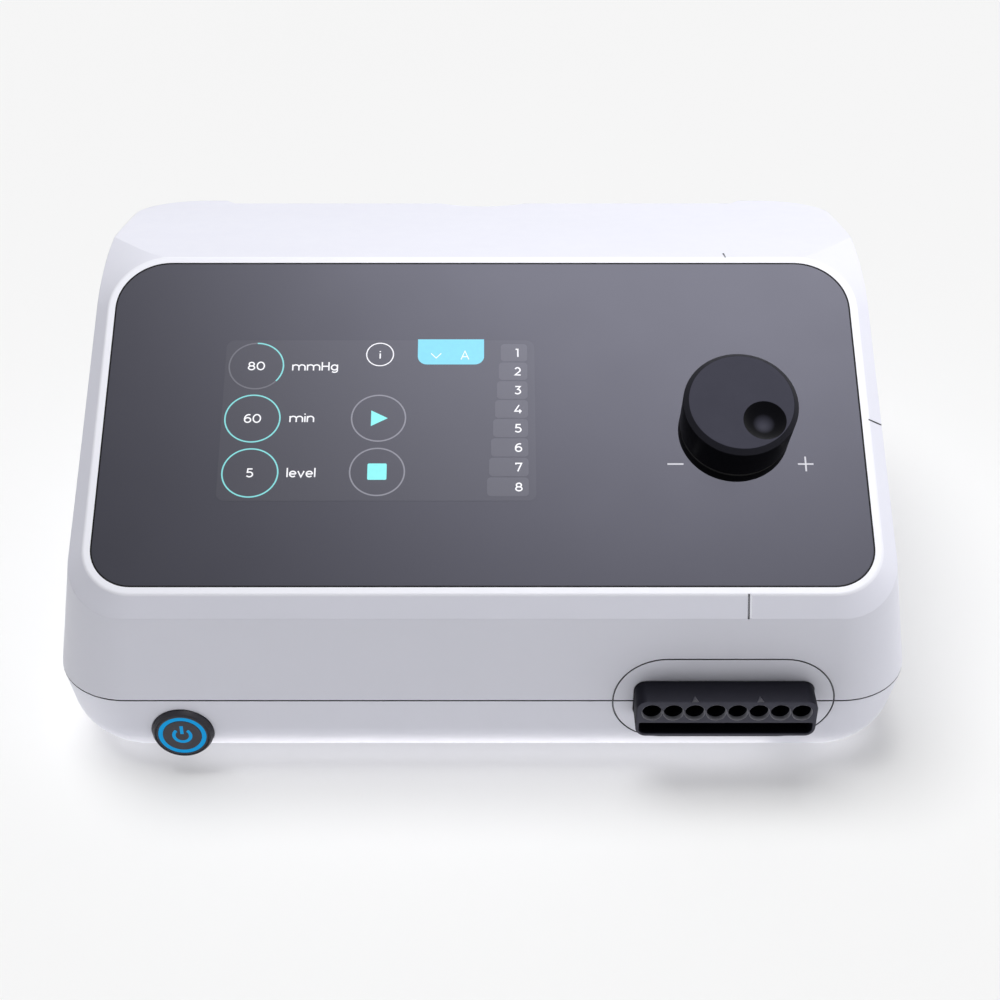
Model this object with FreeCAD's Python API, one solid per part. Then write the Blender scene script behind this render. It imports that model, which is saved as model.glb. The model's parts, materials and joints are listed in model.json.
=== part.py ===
"""Compression therapy pump: a moulded case with a tilted glass panel, a knob, a power button and a
row of hose sockets, and the compressor, valves, boards and fan that it holds.  Millimetres, +Z up,
front towards -Y.  The origin is on the table, in the middle of the whole object."""
import FreeCAD, Part
import math
import os

Vector = FreeCAD.Vector

# ---- glass panel and the frame round it (panel frame: x across, l up the slope, n out of the glass)
panel_tilt = 28.3
panel_front_height = 76.4
glass_width = 257.0
glass_depth = 124.0
glass_thickness = 2.0
glass_front_radius = 14.0
glass_rear_radius = 18.3
glass_gap = 0.15
glass_tape = 0.2
rim_width = 2.6
panel_plate = 3.0

# ---- case
chamfer_drop = 4.4
chamfer_side = 5.6
chamfer_front = 7.0
chamfer_rear = 6.3
chamfer_corner = 5.4
cone_depth = 32.0
side_flare = 8.3
front_flare = 1.8
rear_flare = 3.2
crown_lean = 0.9
crown_front_radius = 20.5
crown_rear_radius = 26.0
bow_start = 135.0
bow_radius = 505.0
strip_slope = 14.6
strip_length = 95.5
parting_height = 33.8
parting_front_radius = 25.0
parting_rear_radius = 27.0
wall = 2.6
edge_round = 1.0
parting_groove = 0.5
parting_groove_depth = 0.9
lip_height = 2.4
lip_thickness = 1.5
lip_clearance = 0.8
foot_height = 3.0
foot_radius = 8.0
foot_seat = 1.0
foot_x = 104.0
foot_front_y = -64.0
foot_rear_y = 74.0
lower_draft = 3.0
lower_corner_growth = 11.0
bottom_round = 18.4
mark_width = 0.6
mark_depth = 0.5
mark_x = 86.3
mark_l = 61.3
scoop_width = 34.0
scoop_depth = 1.2
scoop_length = 7.0

# ---- rear bay and the plate in it
bay_half_width = 100.0
bay_slant = 6.0
bay_depth = 5.1
bay_floor = 40.0
rear_plate_half_width = 93.0
rear_plate_height = 58.0
rear_plate_thickness = 2.0
rear_plate_lap = 5.0
rear_plate_radius = 4.0

# ---- screws and posts
post_x = 118.0
post_front_y = -60.0
post_rear_y = 66.0
post_radius = 5.0
screw_radius = 1.5
screw_head_radius = 2.8
screw_head = 1.8
screw_gap = 0.2

# ---- hose sockets
socket_x = 80.6
socket_width = 59.8
socket_height = 15.4
socket_radius = 3.6
socket_proud = 9.4
socket_length = 24.0
socket_raise = 0.4
socket_lip = 1.2
socket_fit = 0.2
bore_count = 8
bore_pitch = 7.07
bore_radius = 3.15
bore_depth = 16.0
bore_below_top = 4.8
duct_radius = 1.6
slot_height = 4.7
slot_depth = 8.0
slot_radius = 2.1
fin_spacing = 21.4
fin_width = 2.4
fin_length = 3.0
fin_height = 1.3
oval_length = 74.0
oval_radius = 17.5
oval_line = 0.5

# ---- valves
gasket_thickness = 1.5
manifold_width = 62.0
manifold_depth = 44.0
manifold_height = 18.0
valve_rows = 2
valves_per_row = 4
valve_pitch_x = 15.5
valve_pitch_y = 18.0
valve_first_y = 13.0
valve_size = 14.0
valve_height = 24.0
plunger_radius = 3.0
plunger_gap = 0.05
plunger_length = 15.0
plunger_travel = 0.8
plunger_room = 17.0

# ---- compressor
compressor_x = 42.0
compressor_y = 53.0
compressor_axis_z = 46.0
base_length = 104.0
base_width = 64.0
base_thickness = 2.0
mount_radius = 6.0
mount_height = 8.0
core_length = 44.0
core_depth = 18.0
core_height = 44.0
core_slot = 12.0
coil_thickness = 4.0
armature_length = 92.0
armature_width = 18.0
armature_height = 7.0
armature_gap = 1.2
armature_travel = 1.5
disc_radius = 14.0
disc_thickness = 3.0
diaphragm_radius = 22.0
diaphragm_thickness = 1.6
diaphragm_fit = 0.08
head_size = 52.0
head_thickness = 14.0
head_room = 5.0
frame_thickness = 6.0

# ---- air path
tank_width = 48.0
tank_depth = 32.0
tank_height = 34.0
tank_wall = 2.0
tube_radius = 3.0
tube_wall = 1.0
spigot_length = 6.0

# ---- boards and supply
board_thickness = 1.6
board_height = 31.0
main_board_x = -60.0
main_board_y = -42.0
main_board_width = 96.0
main_board_depth = 76.0
chip_columns = 3
chip_heights = (1.5, 3.5)
chip_gap = 4.0
supply_x = -72.0
supply_y = 56.0
supply_width = 70.0
supply_depth = 70.0
supply_height = 14.0
transformer_width = 34.0
transformer_depth = 30.0
transformer_height = 28.0
capacitor_radius = 8.0
capacitor_height = 28.0

# ---- mains inlet and fan
inlet_x = -62.0
inlet_z = 72.0
inlet_width = 27.0
inlet_height = 19.6
inlet_depth = 18.0
inlet_wall = 1.4
inlet_flange = 2.5
flange_lap = 2.2
pin_thickness = 2.0
pin_height = 4.0
pin_length = 13.0
pin_spacing = 14.0
drawer_height = 8.0
drawer_gap = 0.2
fan_x = 55.0
fan_size = 40.0
fan_depth = 10.0
fan_z = 70.0
fan_bore = 19.0
fan_hub_radius = 9.0
blade_radius = 18.3
blade_count = 7
blade_thickness = 1.2
vent_slot = 2.4
vent_pitch = 4.8

# ---- display
display_x = -35.3
display_l = 62.0
display_width = 120.7
display_depth = 75.9
display_thickness = 4.0
window_gap = 0.8
bracket_lap = 7.0
bracket_thickness = 1.0

# ---- knob and its encoder
knob_x = 84.8
knob_l = 56.4
knob_base_radius = 18.7
knob_rim_radius = 19.0
knob_top_radius = 17.3
knob_rim_height = 20.0
knob_top_height = 21.6
ring_height = 4.6
knob_gap = 0.9
knob_travel = 0.5
dimple_radius = 7.0
dimple_offset_x = 7.2
dimple_offset_l = -6.8
dimple_depth = 3.2
knob_hollow = 9.0
knob_wall = 2.4
shaft_radius = 3.0
shaft_gap = 0.05
bush_radius = 4.5
bush_gap = 0.2
bush_height = 6.0
encoder_size = 16.0
encoder_depth = 8.0
nut_radius = 6.5
nut_height = 2.0
stem_radius = 2.0
stem_length = 3.0

# ---- power button
button_x = -101.9
button_below_parting = 14.8
button_proud = 1.4
bezel_radius = 10.4
bezel_face_radius = 9.5
barrel_radius = 8.2
barrel_length = 20.0
cap_radius = 8.9
cap_gap = 0.1
cap_thickness = 3.0
button_travel = 1.5
button_stem_radius = 3.5
button_stem_length = 10.0
ring_outer_radius = 8.15
ring_inner_radius = 6.65
ring_thickness = 1.0
button_nut_radius = 11.0
button_nut_height = 3.0

# ---- derived places
tilt = math.radians(panel_tilt)
slope = math.radians(strip_slope)
glass_pocket = glass_thickness + glass_tape
rim_half_width = glass_width / 2 + rim_width
shoulder_half_width = rim_half_width + chamfer_side
case_half_width = shoulder_half_width + side_flare


def slope_offset(l, n):
    """Offset in Y and Z from the panel's front edge to a place on or over the panel."""
    return (l * math.cos(tilt) - n * math.sin(tilt), l * math.sin(tilt) + n * math.cos(tilt))


shoulder_front = slope_offset(-(rim_width + chamfer_front), -chamfer_drop)
rim_rear = slope_offset(glass_depth + rim_width, 0.0)
strip_rear_y = rim_rear[0] + strip_length * math.cos(slope)
strip_rear_height = panel_front_height + rim_rear[1] - strip_length * math.sin(slope)
case_depth = strip_rear_y + rear_flare - (shoulder_front[0] - front_flare)
case_rear = (case_depth + socket_proud) / 2
case_front = case_rear - case_depth
panel_front = case_front + front_flare - shoulder_front[0]
strip_rear = panel_front + strip_rear_y
bay_face = strip_rear - bay_depth
floor_top = foot_height + wall
panel_place = FreeCAD.Placement(Vector(0, panel_front, panel_front_height),
                                FreeCAD.Rotation(Vector(1, 0, 0), panel_tilt))
panel_normal = Vector(0, -math.sin(tilt), math.cos(tilt))
socket_z = parting_height + socket_raise
socket_face = case_front - socket_proud
bore_z = socket_z + socket_height / 2 - bore_below_top
button_z = parting_height - button_below_parting
button_face = case_front - button_proud
plate_underside = -(glass_pocket + panel_plate)


# ---- shape helpers
def box(x0, x1, y0, y1, z0, z1):
    return Part.makeBox(x1 - x0, y1 - y0, z1 - z0, Vector(x0, y0, z0))


def rod(radius, start, direction, length):
    return Part.makeCylinder(radius, length, start, direction)


def tube(outer, inner, start, direction, length):
    return rod(outer, start, direction, length).cut(rod(inner, start, direction, length))


def on_panel(shape):
    """Place a shape that was made in the panel frame."""
    placed = shape.copy()
    placed.Placement = panel_place.multiply(placed.Placement)
    return placed


def join(shapes):
    whole = shapes[0]
    if len(shapes) > 1:
        whole = whole.fuse(shapes[1:])
    return whole.removeSplitter()


def line(a, b):
    return Part.LineSegment(a, b).toShape()


def arc(a, middle, b):
    return Part.Arc(a, middle, b).toShape()


def mirrored(point):
    return Vector(-point.x, point.y, point.z)


def outline(half_width, front, rear, front_radius, rear_radius, z, split=None, bow=None):
    """Closed outline with round corners.  With a split the sides are two edges, and with a bow the
    rear one curves gently inwards to meet the rear corner."""
    corner = math.sin(math.pi / 4)
    front_end = Vector(half_width - front_radius, front, z)
    front_middle = front_end + Vector(front_radius * corner, front_radius * (1 - corner), 0)
    side_start = Vector(half_width, front + front_radius, z)
    centre_x = half_width - rear_radius
    start_angle = 0.0
    side_end = Vector(half_width, rear - rear_radius, z)
    bow_middle = None
    if bow:
        bow_x = half_width - bow
        centre_x = bow_x + math.sqrt((bow - rear_radius) ** 2 - (rear - rear_radius - split) ** 2)
        start_angle = math.atan2(rear - rear_radius - split, centre_x - bow_x)
        side_end = Vector(bow_x + bow * math.cos(start_angle), split + bow * math.sin(start_angle), z)
        bow_middle = Vector(bow_x + bow * math.cos(start_angle / 2),
                            split + bow * math.sin(start_angle / 2), z)
    middle_angle = (start_angle + math.pi / 2) / 2
    rear_middle = Vector(centre_x + rear_radius * math.cos(middle_angle),
                         rear - rear_radius + rear_radius * math.sin(middle_angle), z)
    rear_start = Vector(centre_x, rear, z)
    right = [(front_end, front_middle, side_start)]
    if split is None:
        right.append((side_start, None, side_end))
    else:
        side_split = Vector(half_width, split, z)
        right.append((side_start, None, side_split))
        right.append((side_split, bow_middle, side_end))
    right.append((side_end, rear_middle, rear_start))
    left = [(mirrored(b), middle and mirrored(middle), mirrored(a)) for a, middle, b in reversed(right)]
    spans = right + [(rear_start, None, mirrored(rear_start))] + left
    spans.append((mirrored(front_end), None, front_end))
    return Part.Wire([arc(a, middle, b) if middle else line(a, b) for a, middle, b in spans])


def slab(wire, height):
    return Part.Face(wire).extrude(Vector(0, 0, height))


def rounded_box(x, y, width, depth, z0, z1, radius):
    """Upright block with round vertical edges, centred on x and y."""
    block = slab(outline(width / 2, -depth / 2, depth / 2, radius, radius, z0), z1 - z0)
    block.translate(Vector(x, y, 0))
    return block


def facing_block(x, z, width, height, y0, y1, radius):
    """Block with round edges along Y, centred on x and z."""
    block = rounded_box(0, 0, width, height, 0, y1 - y0, radius)
    block.rotate(Vector(0, 0, 0), Vector(1, 0, 0), 90)
    block.translate(Vector(x, y1, z))
    return block


def hexagon_nut(radius, hole, height):
    corners = [Vector(radius * math.cos(k * math.pi / 3), radius * math.sin(k * math.pi / 3), 0)
               for k in range(7)]
    nut = Part.Face(Part.makePolygon(corners)).extrude(Vector(0, 0, height))
    return nut.cut(rod(hole, Vector(0, 0, 0), Vector(0, 0, 1), height))


def screw(x, y, head_z, length):
    """Screw that points up, with its head's flat face at head_z."""
    head = rod(screw_head_radius, Vector(x, y, head_z), Vector(0, 0, 1), screw_head)
    shank = rod(screw_radius, Vector(x, y, head_z + screw_head), Vector(0, 0, 1), length)
    return head.fuse(shank).removeSplitter()


# ---- case bodies
def reach_on_panel(y0, z0, y1, z1):
    """How far up the slope the wall line through two places meets the glass plane."""
    above = []
    for y, z in ((y0, z0), (y1, z1)):
        above.append((z - panel_front_height) * math.cos(tilt) - (y - panel_front) * math.sin(tilt))
    share = above[0] / (above[0] - above[1])
    return (y0 + share * (y1 - y0) - panel_front) / math.cos(tilt)


def upper_walls(inset):
    """Solid between the parting line and the glass plane, drawn in by inset."""
    split_y = panel_front + bow_start * math.cos(tilt)
    low = outline(case_half_width - inset, case_front + inset, case_rear - inset,
                  parting_front_radius - inset, parting_rear_radius - inset, parting_height, split_y)
    shoulder_y = panel_front + shoulder_front[0]
    shoulder_z = panel_front_height + shoulder_front[1]
    crown_front = reach_on_panel(case_front, parting_height, shoulder_y, shoulder_z)
    crown_rear = reach_on_panel(case_rear, parting_height, strip_rear, strip_rear_height)
    crown = outline(shoulder_half_width - crown_lean - inset, crown_front + inset, crown_rear - inset,
                    crown_front_radius - inset, crown_rear_radius - inset, 0,
                    bow_start, bow_radius - inset)
    crown.Placement = panel_place
    return Part.makeLoft([low, crown], True, True)


def chamfer_cone(drop):
    """Everything under the rim and its chamfer, moved down by drop along the panel's normal."""
    depth = cone_depth
    steps = depth / chamfer_drop
    top = outline(rim_half_width, -rim_width, glass_depth + rim_width,
                  glass_front_radius + rim_width, glass_rear_radius + rim_width, 0)
    foot = outline(rim_half_width + chamfer_side * steps, -rim_width - chamfer_front * steps,
                   glass_depth + rim_width + chamfer_rear * steps,
                   glass_front_radius + rim_width + chamfer_corner * steps,
                   glass_rear_radius + rim_width + chamfer_corner * steps, -depth)
    reach = 2 * case_depth
    below = box(-reach, reach, -reach, reach, -reach, -depth)
    cone = on_panel(Part.makeLoft([top, foot], True, True).fuse(below))
    cone.translate(panel_normal * -drop)
    return cone


def under_strip(drop):
    """Everything under the rear strip's plane, moved down by drop."""
    reach = 2 * case_depth
    half_space = box(-reach, reach, -reach, reach, -reach, 0)
    start = Vector(0, panel_front + rim_rear[0], panel_front_height + rim_rear[1])
    start -= Vector(0, math.sin(slope), math.cos(slope)) * drop
    half_space.Placement = FreeCAD.Placement(start, FreeCAD.Rotation(Vector(1, 0, 0), -strip_slope))
    return half_space


def bay_cut(growth):
    """The bay in the rear wall, with growth added on every side."""
    half = bay_half_width + growth
    front = bay_face - growth
    rear = case_rear + growth
    slant = bay_slant * (rear - front) / (case_rear - bay_face)
    corners = [Vector(-half, front, 0), Vector(half, front, 0), Vector(half + slant, rear, 0),
               Vector(-half - slant, rear, 0), Vector(-half, front, 0)]
    bay = Part.Face(Part.makePolygon(corners)).extrude(Vector(0, 0, case_depth))
    bay.translate(Vector(0, 0, bay_floor - growth))
    return bay


def upper_body(inset, panel_drop, strip_drop):
    body = upper_walls(inset).common(chamfer_cone(panel_drop)).common(under_strip(strip_drop))
    return body.Solids[0]


def height_over_glass(point):
    return panel_normal.dot(point - Vector(0, panel_front, panel_front_height))


def rounded_upper_body():
    """The outside of the upper shell with the crisp edge of its rim softened."""
    body = upper_body(0, 0, 0)
    rim = [e for e in body.Edges if min(height_over_glass(v.Point) for v in e.Vertexes) > -glass_gap]
    return body.makeFillet(edge_round, rim)


def lower_body(inset):
    """Solid between the parting line and the floor of the case, drawn in by inset."""
    bottom = foot_height + inset
    draw = (parting_height - bottom) * math.tan(math.radians(lower_draft))
    high = outline(case_half_width - inset, case_front + inset, case_rear - inset,
                   parting_front_radius - inset, parting_rear_radius - inset, parting_height)
    growth = lower_corner_growth - inset - draw
    low = outline(case_half_width - inset - draw, case_front + inset + draw, case_rear - inset - draw,
                  parting_front_radius + growth, parting_rear_radius + growth, bottom)
    body = Part.makeLoft([low, high], True, True)
    edges = [e for e in body.Edges if max(v.Z for v in e.Vertexes) < bottom + wall / 10]
    return body.makeFillet(bottom_round - inset, edges)


def parting_band(inset_outer, inset_inner, z0, z1):
    """Upright band that follows the parting line."""
    loops = []
    for inset in (inset_outer, inset_inner):
        loop = outline(case_half_width - inset, case_front + inset, case_rear - inset,
                       parting_front_radius - inset, parting_rear_radius - inset, z0)
        loops.append(slab(loop, z1 - z0))
    return loops[0].cut(loops[1])


def oval_groove(skin):
    """Fine line round the hose sockets, cut to an even depth in the skin that is given."""
    front = case_front - socket_proud
    rear = case_front + wall + socket_proud
    width = oval_length + oval_line
    ring = facing_block(socket_x, parting_height, width, 2 * oval_radius + oval_line, front, rear,
                        oval_radius + oval_line / 2 - 0.01)
    hollow = facing_block(socket_x, parting_height, width - 2 * oval_line,
                          2 * oval_radius - oval_line, front, rear, oval_radius - oval_line / 2 - 0.01)
    kept = skin.copy()
    kept.translate(Vector(0, mark_depth, 0))
    return ring.cut(hollow).cut(kept)


def index_marks(skin):
    """Three short lines across the chamfer, beside the knob."""
    reach = 2 * chamfer_drop
    front = box(mark_x - mark_width / 2, mark_x + mark_width / 2,
                -rim_width - chamfer_front, -rim_width, -reach, 1)
    rear = box(mark_x - mark_width / 2, mark_x + mark_width / 2,
               glass_depth + rim_width, glass_depth + rim_width + chamfer_drop, -reach, 1)
    side = box(rim_half_width, shoulder_half_width, mark_l - mark_width / 2, mark_l + mark_width / 2,
               -reach, 1)
    kept = skin.copy()
    kept.translate(panel_normal * -mark_depth)
    return on_panel(Part.makeCompound([front, rear, side])).cut(kept)


def scoop():
    """Shallow finger scoop that runs out to the middle of the rear strip's edge, over the bay."""
    radius = (scoop_width ** 2 / 4 + scoop_depth ** 2) / (2 * scoop_depth)
    surface = strip_rear_height + (bay_depth + scoop_length) * math.tan(slope)
    steep = slope + math.atan(scoop_depth / scoop_length)
    start = Vector(0, bay_face - scoop_length, surface) + Vector(0, math.sin(steep), math.cos(steep)) * radius
    return rod(radius, start, Vector(0, math.cos(steep), -math.sin(steep)), scoop_length + bay_depth)


def post_places():
    return [(x, y) for x in (-post_x, post_x) for y in (post_front_y, post_rear_y)]


def socket_opening():
    return facing_block(socket_x, socket_z, socket_width + 2 * socket_fit,
                        socket_height + 2 * socket_fit, socket_face, case_front + 4 * wall,
                        socket_radius + socket_fit)


def plate_opening():
    """Opening in the bay's face behind the rear plate."""
    lap = rear_plate_lap
    return facing_block(0, bay_floor + 1 + rear_plate_height / 2, 2 * (rear_plate_half_width - lap),
                        rear_plate_height - 2 * lap, bay_face - 2 * wall, bay_face + 1,
                        rear_plate_radius)


def rear_screw_places():
    x = rear_plate_half_width - rear_plate_lap / 2
    low = bay_floor + 1 + rear_plate_lap / 2
    high = low + rear_plate_height - rear_plate_lap
    return [(sx * x, z) for sx in (-1, 1) for z in (low, high)]


def upper_shell():
    skin = rounded_upper_body()
    room = upper_body(wall, -plate_underside, wall).cut(bay_cut(wall))
    shell = skin.cut(room).cut(bay_cut(0))
    posts = [rod(post_radius, Vector(x, y, parting_height), Vector(0, 0, 1), case_depth)
             for x, y in post_places()]
    shell = shell.fuse([post.common(room) for post in posts])
    pocket = outline(glass_width / 2 + glass_gap, -glass_gap, glass_depth + glass_gap,
                     glass_front_radius, glass_rear_radius, -glass_pocket)
    window = box(display_x - display_width / 2 - window_gap, display_x + display_width / 2 + window_gap,
                 display_l - display_depth / 2 - window_gap, display_l + display_depth / 2 + window_gap,
                 2 * plate_underside, 0)
    bush = rod(bush_radius + bush_gap, Vector(knob_x, knob_l, 2 * plate_underside), Vector(0, 0, 1),
               -2 * plate_underside)
    cuts = [on_panel(slab(pocket, glass_pocket + 1)), on_panel(window), on_panel(bush), scoop(),
            socket_opening(), plate_opening(), oval_groove(skin), index_marks(skin)]
    cuts.append(parting_band(-1, parting_groove_depth, parting_height,
                             parting_height + parting_groove / 2))
    for x, y in post_places():
        cuts.append(rod(screw_radius, Vector(x, y, parting_height), Vector(0, 0, 1), 3 * post_radius))
    for x, z in rear_screw_places():
        cuts.append(rod(screw_radius, Vector(x, bay_face - 2 * wall, z), Vector(0, 1, 0), 3 * wall))
    for cut in cuts:
        shell = shell.cut(cut)
    return shell


def floor_posts():
    """Posts on the floor of the case: place, top and radius of each."""
    posts = [(x, y, parting_height, post_radius) for x, y in post_places()]
    half = main_board_width / 2 - post_radius
    for x in (main_board_x - half, main_board_x + half):
        for y in (main_board_y - main_board_depth / 2 + post_radius,
                  main_board_y + main_board_depth / 2 - post_radius):
            posts.append((x, y, board_height, post_radius - 1))
    for x in (supply_x - supply_width / 2 + post_radius, supply_x + supply_width / 2 - post_radius):
        for y in (supply_y - supply_depth / 2 + post_radius, supply_y + supply_depth / 2 - post_radius):
            posts.append((x, y, supply_height, post_radius - 1))
    for x in (manifold_x0 + post_radius, manifold_x0 + manifold_width - post_radius):
        for y in (manifold_y0 + post_radius, manifold_y0 + manifold_depth - post_radius):
            posts.append((x, y, manifold_z0, post_radius - 1))
    return posts


manifold_x0 = socket_x - manifold_width / 2
manifold_y0 = socket_face + socket_length + gasket_thickness
manifold_z0 = bore_z - manifold_height / 2


def lower_shell():
    skin = lower_body(0)
    room = lower_body(wall)
    shell = skin.cut(room)
    lip = parting_band(wall + lip_clearance, wall + lip_clearance + lip_thickness,
                       parting_height - lip_height, parting_height + lip_height)
    shelf = parting_band(wall / 2, wall + lip_clearance + lip_thickness,
                         parting_height - lip_height, parting_height - lip_height / 2)
    parts = [lip, shelf.common(skin)]
    for x, y, top, radius in floor_posts():
        parts.append(rod(radius, Vector(x, y, floor_top - wall / 2), Vector(0, 0, 1),
                         top - floor_top + wall / 2))
    shell = shell.fuse(parts)
    cuts = [socket_opening(), oval_groove(skin)]
    cuts.append(rod(bezel_radius + socket_fit, Vector(button_x, case_front - 1, button_z),
                    Vector(0, 1, 0), 3 * wall + bezel_radius))
    cuts.append(parting_band(-1, parting_groove_depth, parting_height - parting_groove / 2,
                             parting_height))
    for x, y in post_places():
        cuts.append(rod(post_radius + screw_gap, Vector(x, y, parting_height), Vector(0, 0, 1),
                        2 * lip_height))
        cuts.append(rod(screw_radius + screw_gap, Vector(x, y, 0), Vector(0, 0, 1), case_depth))
        cuts.append(rod(screw_head_radius + screw_gap, Vector(x, y, 0), Vector(0, 0, 1),
                        foot_height + 2 * screw_head))
    for x, y in foot_places():
        cuts.append(rod(foot_radius + screw_gap, Vector(x, y, 0), Vector(0, 0, 1),
                        foot_height + foot_seat))
    for k in range(-4, 5):
        x = compressor_x + k * 2 * vent_pitch
        cuts.append(rounded_box(x, compressor_y, vent_slot, base_width / 2, 0, 2 * floor_top, 1.1))
    for x, y, top, radius in floor_posts()[len(post_places()):]:
        cuts.append(rod(1.2, Vector(x, y, floor_top), Vector(0, 0, 1), case_depth))
    for cut in cuts:
        shell = shell.cut(cut)
    return shell


def foot_places():
    return [(x, y) for x in (-foot_x, foot_x) for y in (foot_front_y, foot_rear_y)]


def feet():
    pads = []
    for x, y in foot_places():
        pad = Part.makeCone(foot_radius - 1, foot_radius, foot_height, Vector(x, y, 0))
        pads.append(join([pad, rod(foot_radius, Vector(x, y, foot_height), Vector(0, 0, 1), foot_seat)]))
    return Part.makeCompound(pads)


def case_screws():
    return Part.makeCompound([screw(x, y, foot_height + screw_head, parting_height + post_radius)
                              for x, y in post_places()])


# ---- panel pieces
def front_glass():
    sheet = slab(outline(glass_width / 2, 0, glass_depth, glass_front_radius, glass_rear_radius,
                         -glass_thickness), glass_thickness)
    hole = rod(bush_radius + bush_gap, Vector(knob_x, knob_l, -glass_thickness), Vector(0, 0, 1),
               glass_thickness)
    return on_panel(sheet.cut(hole))


def display_module():
    top = -glass_thickness
    frame = box(display_x - display_width / 2, display_x + display_width / 2,
                display_l - display_depth / 2, display_l + display_depth / 2,
                top - display_thickness, top)
    return on_panel(frame)


def display_bracket():
    top = -glass_thickness - display_thickness
    sheet = rounded_box(display_x, display_l, display_width + 2 * bracket_lap,
                        display_depth + 2 * bracket_lap, top - bracket_thickness, top, bracket_lap)
    opening = rounded_box(display_x, display_l, display_width / 2, display_depth / 2,
                          top - 2 * bracket_thickness, top, bracket_lap)
    return on_panel(sheet.cut(opening))


# ---- knob
def knob_point(height):
    return Vector(knob_x, knob_l, height)


def knob_base_ring():
    ring = rod(knob_base_radius, knob_point(0), Vector(0, 0, 1), ring_height)
    ring = ring.cut(rod(nut_radius + 1, knob_point(0), Vector(0, 0, 1), ring_height))
    return on_panel(ring)


def knob_cap():
    """Knob shell with a boss on the shaft and a finger dimple near its edge."""
    start = ring_height + knob_gap
    profile = [(0, start), (knob_base_radius, start), (knob_rim_radius, knob_rim_height),
               (knob_top_radius, knob_top_height), (0, knob_top_height), (0, start)]
    face = Part.Face(Part.makePolygon([Vector(r, 0, z) for r, z in profile]))
    cap = face.revolve(Vector(0, 0, 0), Vector(0, 0, 1), 360)
    roof = knob_top_height - dimple_depth - knob_wall
    hollow = tube(knob_base_radius - knob_wall, knob_hollow / 2 + knob_wall, Vector(0, 0, start),
                  Vector(0, 0, 1), roof - start)
    socket = rod(nut_radius + 1, Vector(0, 0, start), Vector(0, 0, 1), bush_height - start + 1)
    shaft_hole = rod(shaft_radius, Vector(0, 0, start), Vector(0, 0, 1), roof - start)
    sphere_radius = (dimple_radius ** 2 + dimple_depth ** 2) / (2 * dimple_depth)
    dimple_centre = Vector(dimple_offset_x, dimple_offset_l, knob_top_height + sphere_radius - dimple_depth)
    dimple = Part.makeSphere(sphere_radius, dimple_centre, Vector(1, 0, 0))
    cap = cap.cut(hollow).cut(socket).cut(shaft_hole).cut(dimple)
    cap.translate(knob_point(0))
    return on_panel(cap)


def encoder_shaft():
    top = knob_top_height - dimple_depth - knob_wall
    bottom = plate_underside - encoder_depth / 2
    return on_panel(rod(shaft_radius, knob_point(bottom), Vector(0, 0, 1), top - bottom))


def encoder_body():
    low = plate_underside - encoder_depth
    body = rounded_box(knob_x, knob_l, encoder_size, encoder_size, low, plate_underside, 1)
    body = body.fuse(rod(bush_radius, knob_point(plate_underside), Vector(0, 0, 1),
                         bush_height - plate_underside)).removeSplitter()
    bore = rod(shaft_radius + shaft_gap, knob_point(plate_underside - encoder_depth / 2 - knob_travel
                                                    - 0.2), Vector(0, 0, 1),
               bush_height - plate_underside + encoder_depth / 2 + knob_travel + 0.2)
    stem_room = rod(stem_radius + shaft_gap, knob_point(low), Vector(0, 0, 1), encoder_depth)
    return on_panel(body.cut(bore).cut(stem_room))


def encoder_stem():
    """Push stem under the shaft; it works the switch at the foot of the encoder."""
    top = plate_underside - encoder_depth / 2
    return on_panel(rod(stem_radius, knob_point(top - stem_length), Vector(0, 0, 1), stem_length))


def encoder_nut():
    nut = hexagon_nut(nut_radius, bush_radius, nut_height)
    nut.translate(knob_point(0))
    return on_panel(nut)


def encoder_board():
    top = plate_underside - encoder_depth
    board = rounded_box(knob_x, knob_l, 2 * encoder_size, 2 * encoder_size, top - board_thickness, top, 1)
    return on_panel(board)


# ---- power button
def power_button_bezel():
    """Coned bezel whose barrel guides the travelling cap and holds the switch in its closed end."""
    front = button_face
    cone = Part.makeCone(bezel_face_radius, bezel_radius, button_proud, Vector(button_x, front, button_z),
                         Vector(0, 1, 0))
    skirt = rod(bezel_radius, Vector(button_x, front + button_proud, button_z), Vector(0, 1, 0),
                bezel_radius)
    barrel = rod(barrel_radius + 1, Vector(button_x, front + button_proud + bezel_radius, button_z),
                 Vector(0, 1, 0), barrel_length - bezel_radius)
    body = join([cone, skirt, barrel])
    room = rod(cap_radius + cap_gap, Vector(button_x, front, button_z), Vector(0, 1, 0),
               cap_thickness + button_travel + 0.5)
    guide = rod(button_stem_radius + cap_gap, Vector(button_x, front, button_z), Vector(0, 1, 0),
                cap_thickness + button_stem_length + button_travel + 0.5)
    return body.cut(room).cut(guide)


def power_button_cap():
    disc = rod(cap_radius, Vector(button_x, button_face, button_z), Vector(0, 1, 0), cap_thickness)
    stem = rod(button_stem_radius, Vector(button_x, button_face + cap_thickness, button_z),
               Vector(0, 1, 0), button_stem_length)
    groove = tube(ring_outer_radius, ring_inner_radius, Vector(button_x, button_face, button_z),
                  Vector(0, 1, 0), ring_thickness)
    return join([disc, stem]).cut(groove)


def power_button_light():
    return tube(ring_outer_radius, ring_inner_radius, Vector(button_x, button_face, button_z),
                Vector(0, 1, 0), ring_thickness)


def power_button_nut():
    nut = hexagon_nut(button_nut_radius, barrel_radius + 1, button_nut_height)
    nut.rotate(Vector(0, 0, 0), Vector(1, 0, 0), -90)
    nut.translate(Vector(button_x, button_face + button_proud + bezel_radius, button_z))
    return nut


# ---- hose sockets and valves
def bore_places():
    return [socket_x + (k - (bore_count - 1) / 2) * bore_pitch for k in range(bore_count)]


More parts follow.
